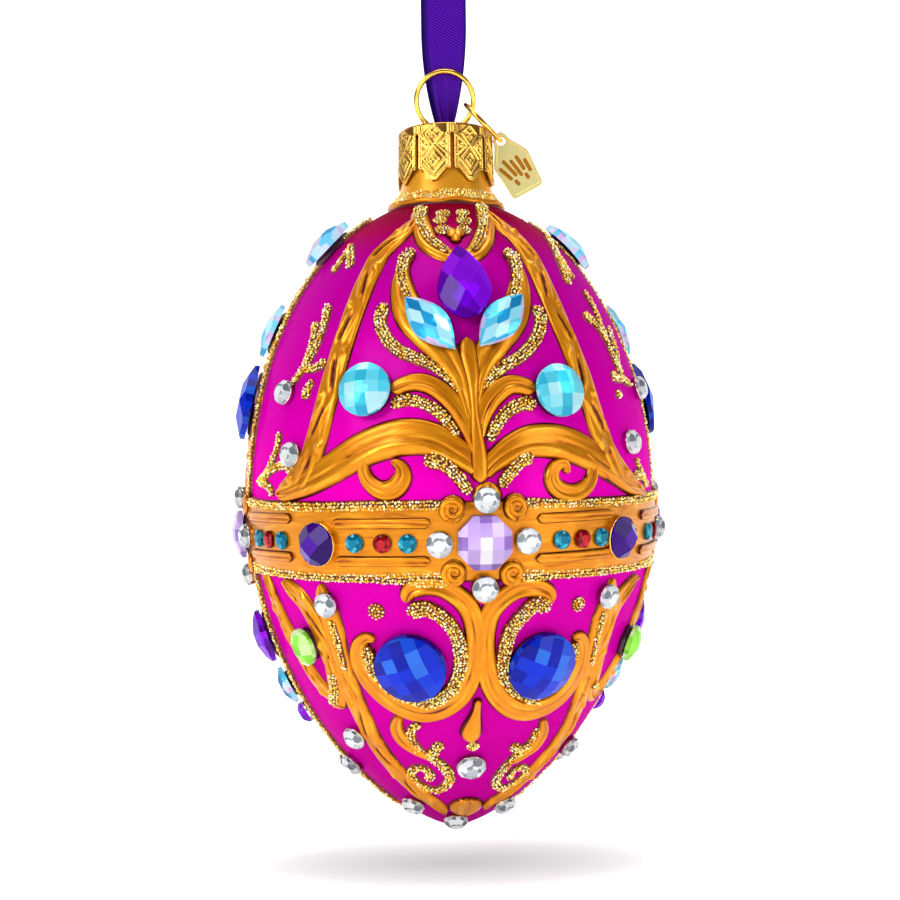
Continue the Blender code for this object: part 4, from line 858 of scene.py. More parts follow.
class Glitter:
    """Collects the places of glitter grains along drawn lines."""

    def __init__(self):
        self.places, self.beds = [], Strokes()

    def line(self, centre, points, base):
        line, run = stroke_line(points, 0.15)
        line[:, 0] += centre
        width = round_ends(run, line[:, 2])
        self.beds.add(centre, points, glue_stroke, step=0.4, samples=7, base=base)
        for place in np.arange(0.1, run[-1], GRAIN_SPACING):
            wide = np.interp(place, run, width)
            count = max(1, int(round(wide / GRAIN_SPACING)))
            offsets = (np.arange(count) - (count - 1) / 2) * 1.1 * wide / count
            offsets = offsets + chance.uniform(-0.1, 0.1, count)
            spots = place + chance.uniform(-0.12, 0.12, count)
            behind, at, ahead = (
                np.stack([np.interp(spots + more, run, line[:, k]) for k in range(2)], axis=1)
                for more in (-0.2, 0.0, 0.2))
            radius, slant = glass_radius(at[:, 1]), np.sqrt(1 + lean(at[:, 1]) ** 2)
            step_x = np.radians(ahead[:, 0] - behind[:, 0]) * radius
            step_y = (ahead[:, 1] - behind[:, 1]) * slant
            size = np.hypot(step_x, step_y) + 1e-9
            turn = at[:, 0] + np.degrees(offsets * step_y / size / radius)
            drawn = at[:, 1] - offsets * step_x / size / slant
            crown = CROWN * (1 - (2 * offsets / max(wide, 0.3)) ** 2)
            rise = base + BED_TOP + crown + chance.uniform(-0.08, 0.12, count)
            self.places.append(on_glass(turn, drawn, rise))

    def dot(self, turn, drawn, radius, base):
        """A round heap of grains, in three rings."""
        reach = float(glass_radius(drawn))
        dab(self.beds, turn, drawn, 2 * radius, base, glue_stroke)
        for ring, count in ((0.0, 1), (0.5, 7), (0.95, 12)):
            angles = np.arange(count) * 2 * pi / count + chance.uniform(0, 1)
            away = radius * ring + chance.uniform(-0.06, 0.06, count)
            turns = turn + np.degrees(away * np.cos(angles) / reach)
            heights = drawn + away * np.sin(angles) / sqrt(1 + float(lean(drawn)) ** 2)
            self.places.append(on_glass(turns, heights, base + 0.18 + 0.12 * (1 - ring)))

    def make(self, name):
        """One piece for the grains, each turned its own way, and one for the glue."""
        spots = np.vstack(self.places)
        count = len(spots)
        quat = chance.normal(size=(count, 4))
        quat /= np.linalg.norm(quat, axis=1)[:, None]
        w, x, y, z = quat.T
        turned = np.stack([
            np.stack([1 - 2 * (y * y + z * z), 2 * (x * y - w * z), 2 * (x * z + w * y)], axis=1),
            np.stack([2 * (x * y + w * z), 1 - 2 * (x * x + z * z), 2 * (y * z - w * x)], axis=1),
            np.stack([2 * (x * z - w * y), 2 * (y * z + w * x), 1 - 2 * (x * x + y * y)], axis=1)], axis=1)
        size = GRAIN_SIZE * chance.uniform(0.75, 1.2, count)
        points = np.einsum("nij,kj->nki", turned, OCTAHEDRON) * size[:, None, None] + spots[:, None, :]
        faces = (np.arange(count)[:, None, None] * 6 + OCTAHEDRON_FACES[None]).reshape(-1, 3)
        tone = np.repeat(chance.uniform(0, 1, count), 6)
        mesh_piece("glitter_" + name, points.reshape(-1, 3), faces.tolist(), GRAIN, "brass",
                   {"tone": ("FLOAT", tone)}, smooth=False, outward=False)
        if self.beds.points:
            self.beds.make("glitter_bed_" + name, SHADED_GLUE, "brass")


def glitter():
    """All glitter on the glass: the scrolls of both panels, the side columns and the belt's edges."""
    for centre, place in ((FRONT, "front"), (BACK, "back")):
        scrolls = Glitter()
        for k, points in enumerate(FACE_GLITTER):
            base = ON_GOLD if k in GLITTER_ON_GOLD else ON_LACQUER
            rows = seen(points, base + GRAIN_TOP)
            if k >= FLANK_GLITTER:
                rows[:, 2] *= FLANK_SPREAD
            scrolls.line(centre, rows, base)
        for turn, drawn, radius in seen(SPARKLE_DOTS + ROSETTES, 0.5):
            scrolls.dot(centre + turn, drawn, radius, 0.1)
        scrolls.make("scrolls_" + place)
    sides = Glitter()
    for centre in (RIGHT, LEFT):
        for points in SIDE_GLITTER:
            sides.line(centre, points, 0.2)
    sides.make("columns")
    edges = Glitter()
    for centre in (FRONT, RIGHT, BACK, LEFT):
        for points in BELT_EDGES:
            edges.line(centre, points, 0.3)
    edges.make("belt")


# Stones

def rim_shape(kind, way):
    """Outline of a stone as (x, y) in units of its half width and half length."""
    x, y = sin(way), cos(way)
    if kind == "navette":
        return (1 - abs(y) ** 1.7) * (1 if x > 0 else -1), y
    if kind == "pear" and y > -0.3:
        up = (y + 0.3) / 1.3
        return (1 if x > 0 else -1) * (1 - up ** 1.6), y
    if kind == "pear":
        return x / sqrt(1 - 0.09), y
    if kind == "octagon":
        reach = 1 / cos(((way + pi / 8) % (pi / 4)) - pi / 8)
        return x * reach * 0.96, y * reach * 0.96
    return x, y


RIM_COUNTS = {"navette": 28, "pear": 30, "octagon": 16, "round": 28, "oval": 24}


def rough_stone(rim, height, low):
    """A prism over a flat cone, ready for grinding."""
    work = bmesh.new()
    low_ring = [work.verts.new((x, y, 0)) for x, y in rim]
    high_ring = [work.verts.new((x, y, height)) for x, y in rim]
    apex = work.verts.new((0, 0, low))
    work.faces.new(high_ring[::-1])
    for k in range(len(rim)):
        n = (k + 1) % len(rim)
        work.faces.new((low_ring[k], low_ring[n], high_ring[n], high_ring[k]))
        work.faces.new((apex, low_ring[n], low_ring[k]))
    return work


def cut_stone(name, form, colour, length, width, depth, seat, cell, angle=0.0, girdle=0.34, kites=False):
    """A stone whose facets are planes laid on a low dome, over a flat mirrored cone."""
    a, b = length / 2, width / 2
    count = RIM_COUNTS[form]
    pointed = form in ("navette", "pear")
    rim = [rim_shape(form, 2 * pi * (k + 0.5 * pointed) / count) for k in range(count)]
    if pointed:
        rim = [(0.0, 1.0)] + rim
    if form == "navette":
        rim.insert(1 + count // 2, (0.0, -1.0))
    work = rough_stone([(x * b, y * a) for x, y in rim], depth + 0.4, -0.25 * seat)
    drop = depth - girdle * depth
    turn = radians(angle)
    reach = int(max(length, width) / min(cell) / 2) + 2
    for i in range(-reach, reach + 1):
        for j in range(-reach, reach + 1):
            if kites:
                x, y = cell[0] * (i - j) / 2, cell[1] * (i + j) / 2
            else:
                x = cell[0] * i * cos(turn) - cell[1] * j * sin(turn)
                y = cell[0] * i * sin(turn) + cell[1] * j * cos(turn)
            share = (x / b) ** 2 + (y / a) ** 2
            if share < 1.35:
                grind(work, (x, y, depth - drop * share),
                      (2 * drop * x / b ** 2, 2 * drop * y / a ** 2, 1.0))
    return polish(work, name, colour)


BRILLIANT_RINGS = [             # facets' slope, place from the middle, turn in steps, height as a share
    (0.55, 0.72, 0.0, 0.86), (0.95, 0.93, 0.5, 0.55), (0.26, 0.5, 0.5, 0.97)]


def brilliant(name, colour, size, depth, seat):
    """A small brilliant: table, kite facets and girdle facets over a flat mirrored cone."""
    half = size / 2
    rim = [(sin(2 * pi * k / 16) * half, cos(2 * pi * k / 16) * half) for k in range(16)]
    work = rough_stone(rim, depth, -0.1 * seat)
    for tilt, share, shift, level in BRILLIANT_RINGS:
        for k in range(8):
            way = 2 * pi * (k + shift) / 8
            grind(work, (sin(way) * half * share, cos(way) * half * share, depth * level),
                  (sin(way) * tilt, cos(way) * tilt, 1.0))
    return polish(work, name, colour)


def grind(work, point, normal):
    """Grind one flat facet and close the cut."""
    cut = bmesh.ops.bisect_plane(work, geom=work.verts[:] + work.edges[:] + work.faces[:], dist=0.0005,
                                 plane_co=point, plane_no=normal, clear_outer=True)
    open_edges = [item for item in cut["geom_cut"]
                  if isinstance(item, bmesh.types.BMEdge) and item.is_boundary]
    if open_edges:
        bmesh.ops.edgenet_fill(work, edges=open_edges)


FACET_LIGHTING = {                 # painted light of the facets: tone of the middle facets, and how it changes towards the rim
    "aurora": (-0.05, 0.75), "purple": (0.9, -0.5), "lilac": (0.9, -0.6), "blue": (0.72, -0.3)}
# Each facet's painted light also differs at random by up to this much.
FACET_LIGHT_SCATTER = 0.75
facet_chance = np.random.default_rng(11)


def polish(work, name, colour):
    """Turn the cut body into a mesh in metres, with foil on its underside."""
    bmesh.ops.recalc_face_normals(work, faces=work.faces)
    mesh = bpy.data.meshes.new(name)
    for one in GEMS[colour]:
        mesh.materials.append(one)
    for face in work.faces:
        face.material_index = 1 if face.normal.z < -0.3 else 0
        face.smooth = False
    bmesh.ops.scale(work, vec=(MM, MM, MM), verts=work.verts)
    work.to_mesh(mesh)
    work.free()
    # Each facet gets a tone of painted light and reflection, by its place from the middle and at random.
    middles = np.array([face.center[:2] for face in mesh.polygons])
    off_centre = np.hypot(*(middles / np.abs(middles).max(axis=0)).T)
    scatter = facet_chance.uniform(-0.5, 0.5, len(middles))
    if colour in FACET_LIGHTING:
        start, slope = FACET_LIGHTING[colour]
        tones = start + slope * off_centre + FACET_LIGHT_SCATTER * scatter
    else:
        tones = 0.5 + scatter
    tone = mesh.attributes.new("tone", "FLOAT", "FACE")
    tone.data.foreach_set("value", np.clip(tones, 0, 1))
    return mesh


def set_stone(pattern, name, turn, drawn, seat, spin, node_name=None):
    """A copy of a cut stone, standing in its place on the egg."""
    mesh = pattern.copy()
    mesh.name = name
    mesh.transform(placing(turn, drawn, seat, spin))
    body = new_object(name, mesh)
    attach(body, ROOT)
    if node_name:
        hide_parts(node_name)


ON_ENAMEL, ON_GLASS = 1.0, 0.5  # how far a stone's edge stands above the glass
KITES = {"kites": True}
CUTS = {                        # form, colour, length, width, height, seat, cell of the facets, the rest
    "pear": ("pear", "purple", 11.0, 7.2, 1.8, ON_ENAMEL, (3.6, 5.0), KITES),
    "navette": ("navette", "aurora", 9.8, 4.8, 1.5, ON_ENAMEL, (1.8, 3.0), KITES),
    "navette_top": ("navette", "aurora", 8.4, 4.2, 2.0, ON_ENAMEL, (1.7, 2.6), KITES),
    "navette_upper": ("navette", "aurora", 8.0, 4.2, 1.5, ON_ENAMEL, (1.7, 2.6), KITES),
    "navette_low": ("navette", "aurora", 5.6, 3.2, 1.4, ON_ENAMEL, (1.5, 2.2), KITES),
    "round_aqua": ("round", "aqua", 6.9, 6.9, 1.7, ON_ENAMEL, (1.55, 1.55), {"angle": 4}),
    "round_blue": ("round", "blue", 9.3, 9.3, 2.2, ON_GLASS, (1.75, 1.75), {"angle": 22}),
    "drop": ("pear", "blue", 10.8, 7.8, 1.9, ON_ENAMEL, (3.6, 4.8), KITES),
    "oval_purple": ("oval", "purple", 7.8, 6.0, 1.9, ON_ENAMEL, (1.7, 1.9), {}),
    "oval_green": ("oval", "green", 5.2, 4.2, 1.4, ON_ENAMEL, (1.25, 1.35), {}),
    "lilac": ("octagon", "lilac", 7.0, 7.0, 1.7, ON_ENAMEL, (1.5, 1.7), {}),
    "cup": ("round", "violet", 5.5, 5.5, 1.6, ON_ENAMEL, (2.1, 2.1), {"angle": 45, "girdle": 0.2}),
}
BRILLIANTS = {                  # colour, width, height, seat
    "clear": ("clear", 3.2, 1.2, ON_ENAMEL), "clear_large": ("clear", 3.8, 1.3, ON_ENAMEL),
    "purple_small": ("purple", 3.2, 1.3, ON_ENAMEL), "zircon": ("zircon", 2.4, 0.6, ON_GLASS),
    "red": ("red", 2.4, 0.6, ON_GLASS),
}

# Stones in their places: cut, name, degrees from the panel's middle, height, seat, spin and slot.
# The small ones without a name are studs on the egg's solid.
FACE_STONES = [
    ("pear", "pear_purple_{}", -3.5, 75.7, ON_ENAMEL, -4, "purple"),
    ("navette", "navette_aqua_{}_left", -13.5, 70.3, ON_ENAMEL, -42, "aqua"),
    ("navette", "navette_aqua_{}_right", 6.8, 70.6, ON_ENAMEL, 42, "aqua"),
    ("round_aqua", "round_aqua_{}_left", -30.3, 62.2, ON_ENAMEL, 0, "aqua"),
    ("round_aqua", "round_aqua_{}_right", 21, 61.8, ON_ENAMEL, 0, "aqua"),
    ("round_blue", "round_blue_{}_left", -20.5, 27.4, ON_GLASS, 0, "blue"),
    ("round_blue", "round_blue_{}_right", 17.8, 27.1, ON_GLASS, 40, "blue"),
] + [("clear", "", turn, drawn, seat, 0, "clear") for turn, drawn, seat in (
    (-43.3, 35.2, 0.7), (37.6, 35.4, 0.7), (-41, 5.9, 0.5), (34, 5.4, 0.5), (-8, 3.2, 0.5))
] + [("clear_large", "", -1.2, 13, 0.45, 0, "clear")]
SIDE_STONES = [
    ("navette_upper", "navette_upper_{}", 0, 71.6, ON_ENAMEL, 0, "aqua"),
    ("drop", "drop_blue_{}", 0, 61.6, ON_ENAMEL, 0, "blue"),
    ("oval_purple", "oval_purple_{}", 0, 29, ON_ENAMEL, 0, "purple"),
    ("navette_low", "navette_low_{}", 0, 22, ON_ENAMEL, 0, "aqua"),
    ("oval_green", "oval_green_{}_left", -30, 28, ON_ENAMEL, 0, "green"),
    ("oval_green", "oval_green_{}_right", 35, 29.4, ON_ENAMEL, 0, "green"),
] + [("clear", "", turn, drawn, ON_GLASS, 0, "clear") for turn, drawn in (
    (30, 62.5), (-26, 62.8), (36.4, 54.3), (-42, 55.3), (0, 10.5), (39.8, 16.5), (-35, 13.4), (19, 11.2))
] + [("purple_small", "", 0, 18, 0.75, 0, "purple")]
BELT_STONES = [
    ("lilac", "lilac_{}", -0.5, 43.3, ON_ENAMEL, 0, "lilac"),
    ("clear", "clear_{}_above", 0.1, 48.4, ON_ENAMEL, 0, "clear"),
    ("clear", "clear_{}_below", -0.3, 37.6, ON_ENAMEL, 0, "clear"),
    ("clear", "clear_{}_left", -11.2, 43.1, ON_ENAMEL, 0, "clear"),
    ("clear", "clear_{}_right", 10.3, 43.3, ON_ENAMEL, 0, "clear"),
] + [(colour, "", turn, 43.2, 0.62, 0, "aqua") for turn, colour in CHIPS]
TOP_NAVETTES = {"right": -5, "left": 8}
BELT_CUPS = [(40, "front_right"), (135, "back_right"), (-135, "back_left"), (-43.5, "front_left")]


def placed(table, centre, place):
    """The rows of one panel's stones, turned to the panel's place on the egg."""
    return [(kind, name.format(place), centre + turn, *rest) for kind, name, turn, *rest in table]


def stones():
    """Every stone of the egg, each kind cut once and copied."""
    cuts = {name: cut_stone(name, *row[:-1], **row[-1]) for name, row in CUTS.items()}
    cuts.update({name: brilliant(name, *row) for name, row in BRILLIANTS.items()})
    rows = placed(FACE_STONES, FRONT, "front") + placed(FACE_STONES, BACK, "back")
    for centre, place in ((RIGHT, "right"), (LEFT, "left")):
        top = ("navette_top", "navette_top_{}", TOP_NAVETTES[place], 83.2, ON_ENAMEL, 0, "aqua")
        rows += placed([top] + SIDE_STONES, centre, place)
    for centre, place in ((FRONT, "front"), (RIGHT, "right"), (BACK, "back"), (LEFT, "left")):
        rows += placed(BELT_STONES, centre, place)
    rows += [("cup", "cup_purple_" + place, turn, 43, ON_ENAMEL, 0, "purple") for turn, place in BELT_CUPS]
    loose = 0
    for kind, node_name, turn, drawn, seat, spin, colour in rows:
        if not node_name:
            loose += 1
        name = "cut_" + (node_name or f"{kind}_{loose}")
        set_stone(cuts[kind], name, turn, drawn, seat, spin, node_name)
    for pattern in cuts.values():
        bpy.data.meshes.remove(pattern)
    return rows


BED_SIZES = {                   # half length and half width of the glue under each cut
    "pear": (4.6, 3.0), "navette": (3.9, 1.7), "navette_top": (3.3, 1.4), "navette_upper": (3.2, 1.4),
    "navette_low": (2.1, 1.1), "round_aqua": (3.1, 3.1), "round_blue": (4.3, 4.3), "drop": (4.6, 3.3),
    "oval_purple": (3.5, 2.6), "oval_green": (2.3, 1.8), "lilac": (3.1, 3.1)}
CUP_SIZES = {"clear": 1.62, "clear_large": 1.92, "purple_small": 1.62, "cup": 2.85}


def lathe_stack(points, faces, matrix, rings, count=24):
    """Rings of (half length, half width, rise) in one closed stack, added to a list of points and faces."""
    start = len(points)
    for a, b, rise in rings:
        for k in range(count):
            way = 2 * pi * k / count
            points.append(tuple((matrix @ (Vector((sin(way) * b, cos(way) * a, rise)) * MM)) / MM))
    for ring in range(len(rings)):
        here, there = start + ring * count, start + (ring + 1) % len(rings) * count
        faces += [[here + k, here + n, there + n, there + k]
                  for k, n in ((k, (k + 1) % count) for k in range(count))]


def stone_beds(rows):
    """Glue under the large stones, coloured dark as painted shadow, gold cups round the belt's purple ones,
    foil under the small.
    """
    glue, cups, foils = ([], []), ([], []), ([], [])
    for kind, _, turn, drawn, seat, spin, _ in rows:
        matrix = placing(turn, drawn, seat, spin)
        foot = -seat - 0.5
        if kind in BED_SIZES:
            a, b = BED_SIZES[kind]
            rings = [(0.05, 0.05, -0.35 * seat - 0.25), (a * 0.9, b * 0.9, -0.12), (a, b, -0.3),
                     (a * 1.03, b * 1.03, foot), (0.05, 0.05, foot)]
            lathe_stack(*glue, matrix, rings)
        if kind in CUP_SIZES:
            r = CUP_SIZES[kind]
            section = [(-0.1, 0.02), (-0.06, 0.2), (0.0, 0.22), (0.06, 0.12), (-0.1, -0.3),
                       (-0.3, foot + 0.1), (-0.6, foot + 0.1)]
            rings = [(r + x, r + x, z) for x, z in section]
            lathe_stack(*(cups if kind == "cup" else foils), matrix, rings)
    mesh_piece("stone_glue", *glue, SHADOW_GLUE, "glass_lacquered")
    mesh_piece("stone_foils", *foils, SEAT_FOIL, "stone_clear")
    mesh_piece("stone_cups", *cups, CAP_BRASS, "brass", {"hollow": ("FLOAT", np.zeros(len(cups[0])))})


# Neck, cap and wires

def lathe(name, profile, material, slot, steps=96, wobble=None):
    """A closed ring turned round the axis from a closed profile of (radius, height), in millimetres."""
    points, faces = [], []
    count = len(profile)
    for k in range(steps):
        way = 2 * pi * k / steps
        more = wobble(way) if wobble else 0.0
        points += [(r * sin(way), -r * cos(way), h + more) for r, h in profile]
    for k in range(steps):
        here, there = k * count, (k + 1) % steps * count
        faces += [[here + i, there + i, there + n, here + n]
                  for i, n in ((i, (i + 1) % count) for i in range(count))]
    return mesh_piece(name, points, faces, material, slot)


NECK_BEADS = [(8.25, 90.2), (7.95, 90.4), (7.65, 90.65), (7.4, 90.95), (7.2, 91.3)]     # radius and height
BEAD_SPACING = 0.36


def neck_collar():
    """Glitter beads round the neck's foot, over a thin piped ridge of enamel and a line of glue coloured
    dark as painted shadow.
    """
    beads = Glitter()
    for radius, drawn in NECK_BEADS:
        count = int(2 * pi * radius / BEAD_SPACING)
        angles = np.arange(count) * 2 * pi / count + chance.uniform(-0.012, 0.012, count)
        heights = TIP + drawn + chance.uniform(-0.14, 0.14, count)
        beads.places.append(np.stack([radius * np.sin(angles), -radius * np.cos(angles), heights], axis=1))
    beads.make("neck_beads")
    lathe("neck_ridge", circle(8.15, 89.75, 0.45, 10), ENAMEL, "glass_lacquered",
          wobble=lambda way: 0.14 * sin(8 * way) + 0.08 * sin(13 * way))
    # A dark line of glue under the ridge: painted shadow.
    lathe("neck_glue_shadow", circle(8.4, 89.2, 0.2, 8), SHADOW_GLUE, "glass_lacquered")


CAP_RADIUS, CAP_WALL = 6.7, 0.3
CAP_SKIRT, CAP_POINT = 6.6, 1.7
CAP_BAND, CAP_ROUND = 1.5, 0.45
CAP_PANELS, SLIT = 8, 0.5
CAP_TOP_FLAT = 0.6 * (CAP_RADIUS - CAP_ROUND)
PANEL_HALF = pi * CAP_RADIUS / CAP_PANELS
DIE_LINES = [                   # ridges of the stamping, from a panel's middle and down from the top
    [(0, 0.5), (1.25, 1.6), (0, 3.3), (-1.25, 1.6), (0, 0.5)],
    [(0, 3.3), (1.6, 5.2), (0, 7.2), (-1.6, 5.2), (0, 3.3)],
    [(0, 4.3), (0.7, 5.25), (0, 6.2), (-0.7, 5.25), (0, 4.3)],
    [(2.0, 1.9), (0.55, 3.3), (2.0, 4.6)], [(-2.0, 1.9), (-0.55, 3.3), (-2.0, 4.6)],
    [(1.35, 2.9), (1.6, 3.25), (1.35, 3.6), (1.12, 3.25), (1.35, 2.9)],
    [(-1.35, 2.9), (-1.6, 3.25), (-1.35, 3.6), (-1.12, 3.25), (-1.35, 2.9)],
]
DIE_DOTS = [(0, 1.55), (0.4, 1.35), (-0.4, 1.35), (0.3, 1.95), (-0.3, 1.95), (0, 5.25), (0.25, 5.6),
            (-0.25, 5.6)]
DIE_HEIGHT = 0.2


def die_relief(u, v, half, deep):
    """Height of the stamping over a cap panel."""
    rise = np.zeros_like(u)
    for line in DIE_LINES:
        for (ax, ay), (bx, by) in zip(line, line[1:]):
            dx, dy = bx - ax, by - ay
            along = np.clip(((u - ax) * dx + (v - ay) * dy) / (dx ** 2 + dy ** 2), 0, 1)
            far = np.hypot(u - ax - along * dx, v - ay - along * dy)
            rise = np.maximum(rise, DIE_HEIGHT * np.exp(-(far / 0.13) ** 2))
    for x, y in DIE_DOTS:
        rise = np.maximum(rise, DIE_HEIGHT * np.exp(-(np.hypot(u - x, v - y) / 0.17) ** 2))
    inside = np.minimum(half - np.abs(u), deep - v)
    for place in (0.12, 0.5):
        rise = np.maximum(rise, 0.17 * np.exp(-((inside - place) / 0.12) ** 2))
    return rise


def stamped_cap():
    """Eight stamped panels with pointed feet, slit apart below the band, and the flat top."""
    columns, rows = 45, 64
    a = np.linspace(-1, 1, columns)[None, :]
    b = np.linspace(0, 1, rows)[:, None]
    deep = CAP_SKIRT + CAP_POINT * np.clip((0.72 - np.abs(a)) / 0.58, 0, 1) + 0 * b
    v = b * deep
    half = PANEL_HALF - SLIT / 2 * np.clip((v - CAP_BAND) / 0.15, 0, 1)
    u = a * half
    relief = die_relief(u, v, half, deep)
    corner = np.clip((CAP_ROUND - v) / CAP_ROUND, 0, 1)
    radius = CAP_RADIUS - CAP_ROUND * (1 - np.sqrt(1 - corner ** 2)) + 0.22 * (v / 8.3) ** 2
    points, faces, die_shading = [], [], []
    count = rows * columns
    for panel in range(CAP_PANELS):
        angle = radians(TURN + 45 * (panel + 0.5)) + u / CAP_RADIUS
        faces += sheet_faces(rows, columns, 2 * count * panel)
        for more in (relief * np.clip(v / 0.5, 0, 1), -CAP_WALL + 0 * relief):
            reach = radius + more
            skin = np.stack([reach * np.sin(angle), -reach * np.cos(angle), CAP_TOP - v], axis=-1)
            points.append(skin.reshape(-1, 3))
        # Painted shading: the flats are darker than the raised die lines, and the inner skin is dark.
        die_shading += [np.clip(0.55 - relief * 5, 0, 1).ravel(), np.ones(count) * 0.9]
    mesh_piece("cap_panels", np.vstack(points), faces, CAP_BRASS, "brass",
               {"hollow": ("FLOAT", np.concatenate(die_shading))})
    rim = CAP_RADIUS - CAP_ROUND + 0.05
    under = CAP_TOP - CAP_WALL
    top = lathe("cap_top", [(rim, CAP_TOP - 0.02), (CAP_TOP_FLAT, CAP_TOP), (1.0, CAP_TOP), (1.0, under),
                            (rim, under)], CAP_BRASS, "brass")
    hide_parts("cap")


def wire(name, points, radius, closed, node_name):
    """A round brass wire along points in millimetres."""
    curve = bpy.data.curves.new(name, "CURVE")
    curve.dimensions = "3D"
    curve.bevel_depth = radius * MM
    curve.bevel_resolution = 5
    curve.use_fill_caps = True
    line = curve.splines.new("POLY")
    line.points.add(len(points) - 1)
    for spot, place in zip(line.points, points):
        spot.co = (*(Vector(place) * MM), 1.0)
    line.use_cyclic_u = closed
    line.use_smooth = True
    curve.materials.append(WIRE_BRASS)
    body = new_object(name, curve)
    bpy.ops.object.select_all(action="DESELECT")
    body.select_set(True)
    bpy.context.view_layer.objects.active = body
    bpy.ops.object.convert(target="MESH")
    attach(body, ROOT)
    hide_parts(node_name)


WIRE_RADIUS, RING_RADIUS = 0.375, 4.15
RING_OPEN, RING_LEAN, RING_FOOT = 30, radians(15), 0.9
LEG_SPREAD, LEG_DEPTH = 1.9, 8.0
JUMP_RADIUS, JUMP_WIRE, JUMP_PLACE = 3.65, 0.35, 98
GAP = 0.3
JUMP_DROP = Vector((0.68, 0, -0.733)).normalized()
JUMP_ACROSS = Vector((0.147, 0.98, 0.136)).normalized()


def on_ring(angle):
    """Place on the hanger's ring; 0 degrees is the top and positive is to the right."""
    along = RING_RADIUS * cos(radians(RING_OPEN)) + RING_RADIUS * cos(radians(angle))
    return Vector((RING_RADIUS * sin(radians(angle)), -along * sin(RING_LEAN),
                   CAP_TOP + RING_FOOT + along * cos(RING_LEAN)))


def hanger():
    """The wire ring above the cap with its two spring legs inside the neck."""
    reach = NECK_RADIUS - WALL - WIRE_RADIUS - 2 * GAP
    legs = [(reach - 0.2, CAP_TOP - LEG_DEPTH), (reach, CAP_TOP - 0.6 * LEG_DEPTH),
            (0.62 * reach, CAP_TOP - 0.22 * LEG_DEPTH), (LEG_SPREAD, CAP_TOP - 3 * CAP_WALL),
            (LEG_SPREAD, CAP_TOP + RING_FOOT / 2)]
    left = [(-x, 0, z) for x, z in legs]
    right = [(x, 0, z) for x, z in reversed(legs)]
    ring = [on_ring(RING_OPEN - 180 + (360 - 2 * RING_OPEN) * k / 64) for k in range(65)]
    wire("brass_hanger", left + ring + right, WIRE_RADIUS, False, "wire_hanger")


def jump_middle():
    """Middle of the jump ring, which hangs in the hanger's ring."""
    inside = on_ring(JUMP_PLACE) - Vector((WIRE_RADIUS + JUMP_WIRE + GAP, 0, 0))
    return inside + JUMP_DROP * JUMP_RADIUS


def small_ring():
    """The jump ring that carries the tag."""
    ways = [2 * pi * k / 48 for k in range(48)]
    points = [jump_middle() + (JUMP_DROP * cos(a) + JUMP_ACROSS * sin(a)) * JUMP_RADIUS for a in ways]
    wire("brass_jump_ring", points, JUMP_WIRE, True, "jump_ring")


TAG_LENGTH, TAG_WIDTH, TAG_THICK = 9.8, 5.5, 0.9
TAG_SWING, TAG_HOLE = radians(28), 0.7
TAG_OUTLINE = [                 # across and down from the eye, as shares of the tag's half width and length
    (-1.0, 0.31), (-0.93, 0.26), (-0.42, 0.02), (-0.36, -0.06), (-0.2, -0.12), (0.2, -0.12), (0.36, -0.06),
    (0.42, 0.02), (0.93, 0.26), (1.0, 0.31), (0.9, 0.80), (0.82, 0.845), (0.72, 0.857), (-0.72, 0.857),
    (-0.82, 0.845), (-0.9, 0.80)]
TAG_RIM, TAG_PRESSED = 0.38, 0.12           # width of the raised rim, depth of the field inside it
GROOVE_RADIUS, GROOVE_DEPTH = 0.28, 0.3
TAG_GROOVES = [                 # across and down from the eye and half the added length, as the same shares
    (-0.62, 0.47, 0.20), (-0.3, 0.42, 0.26), (0.02, 0.46, 0.24), (0.33, 0.42, 0.2), (0.62, 0.5, 0.16),
    (-0.3, 0.66, 0.05), (0.33, 0.64, 0.05)]


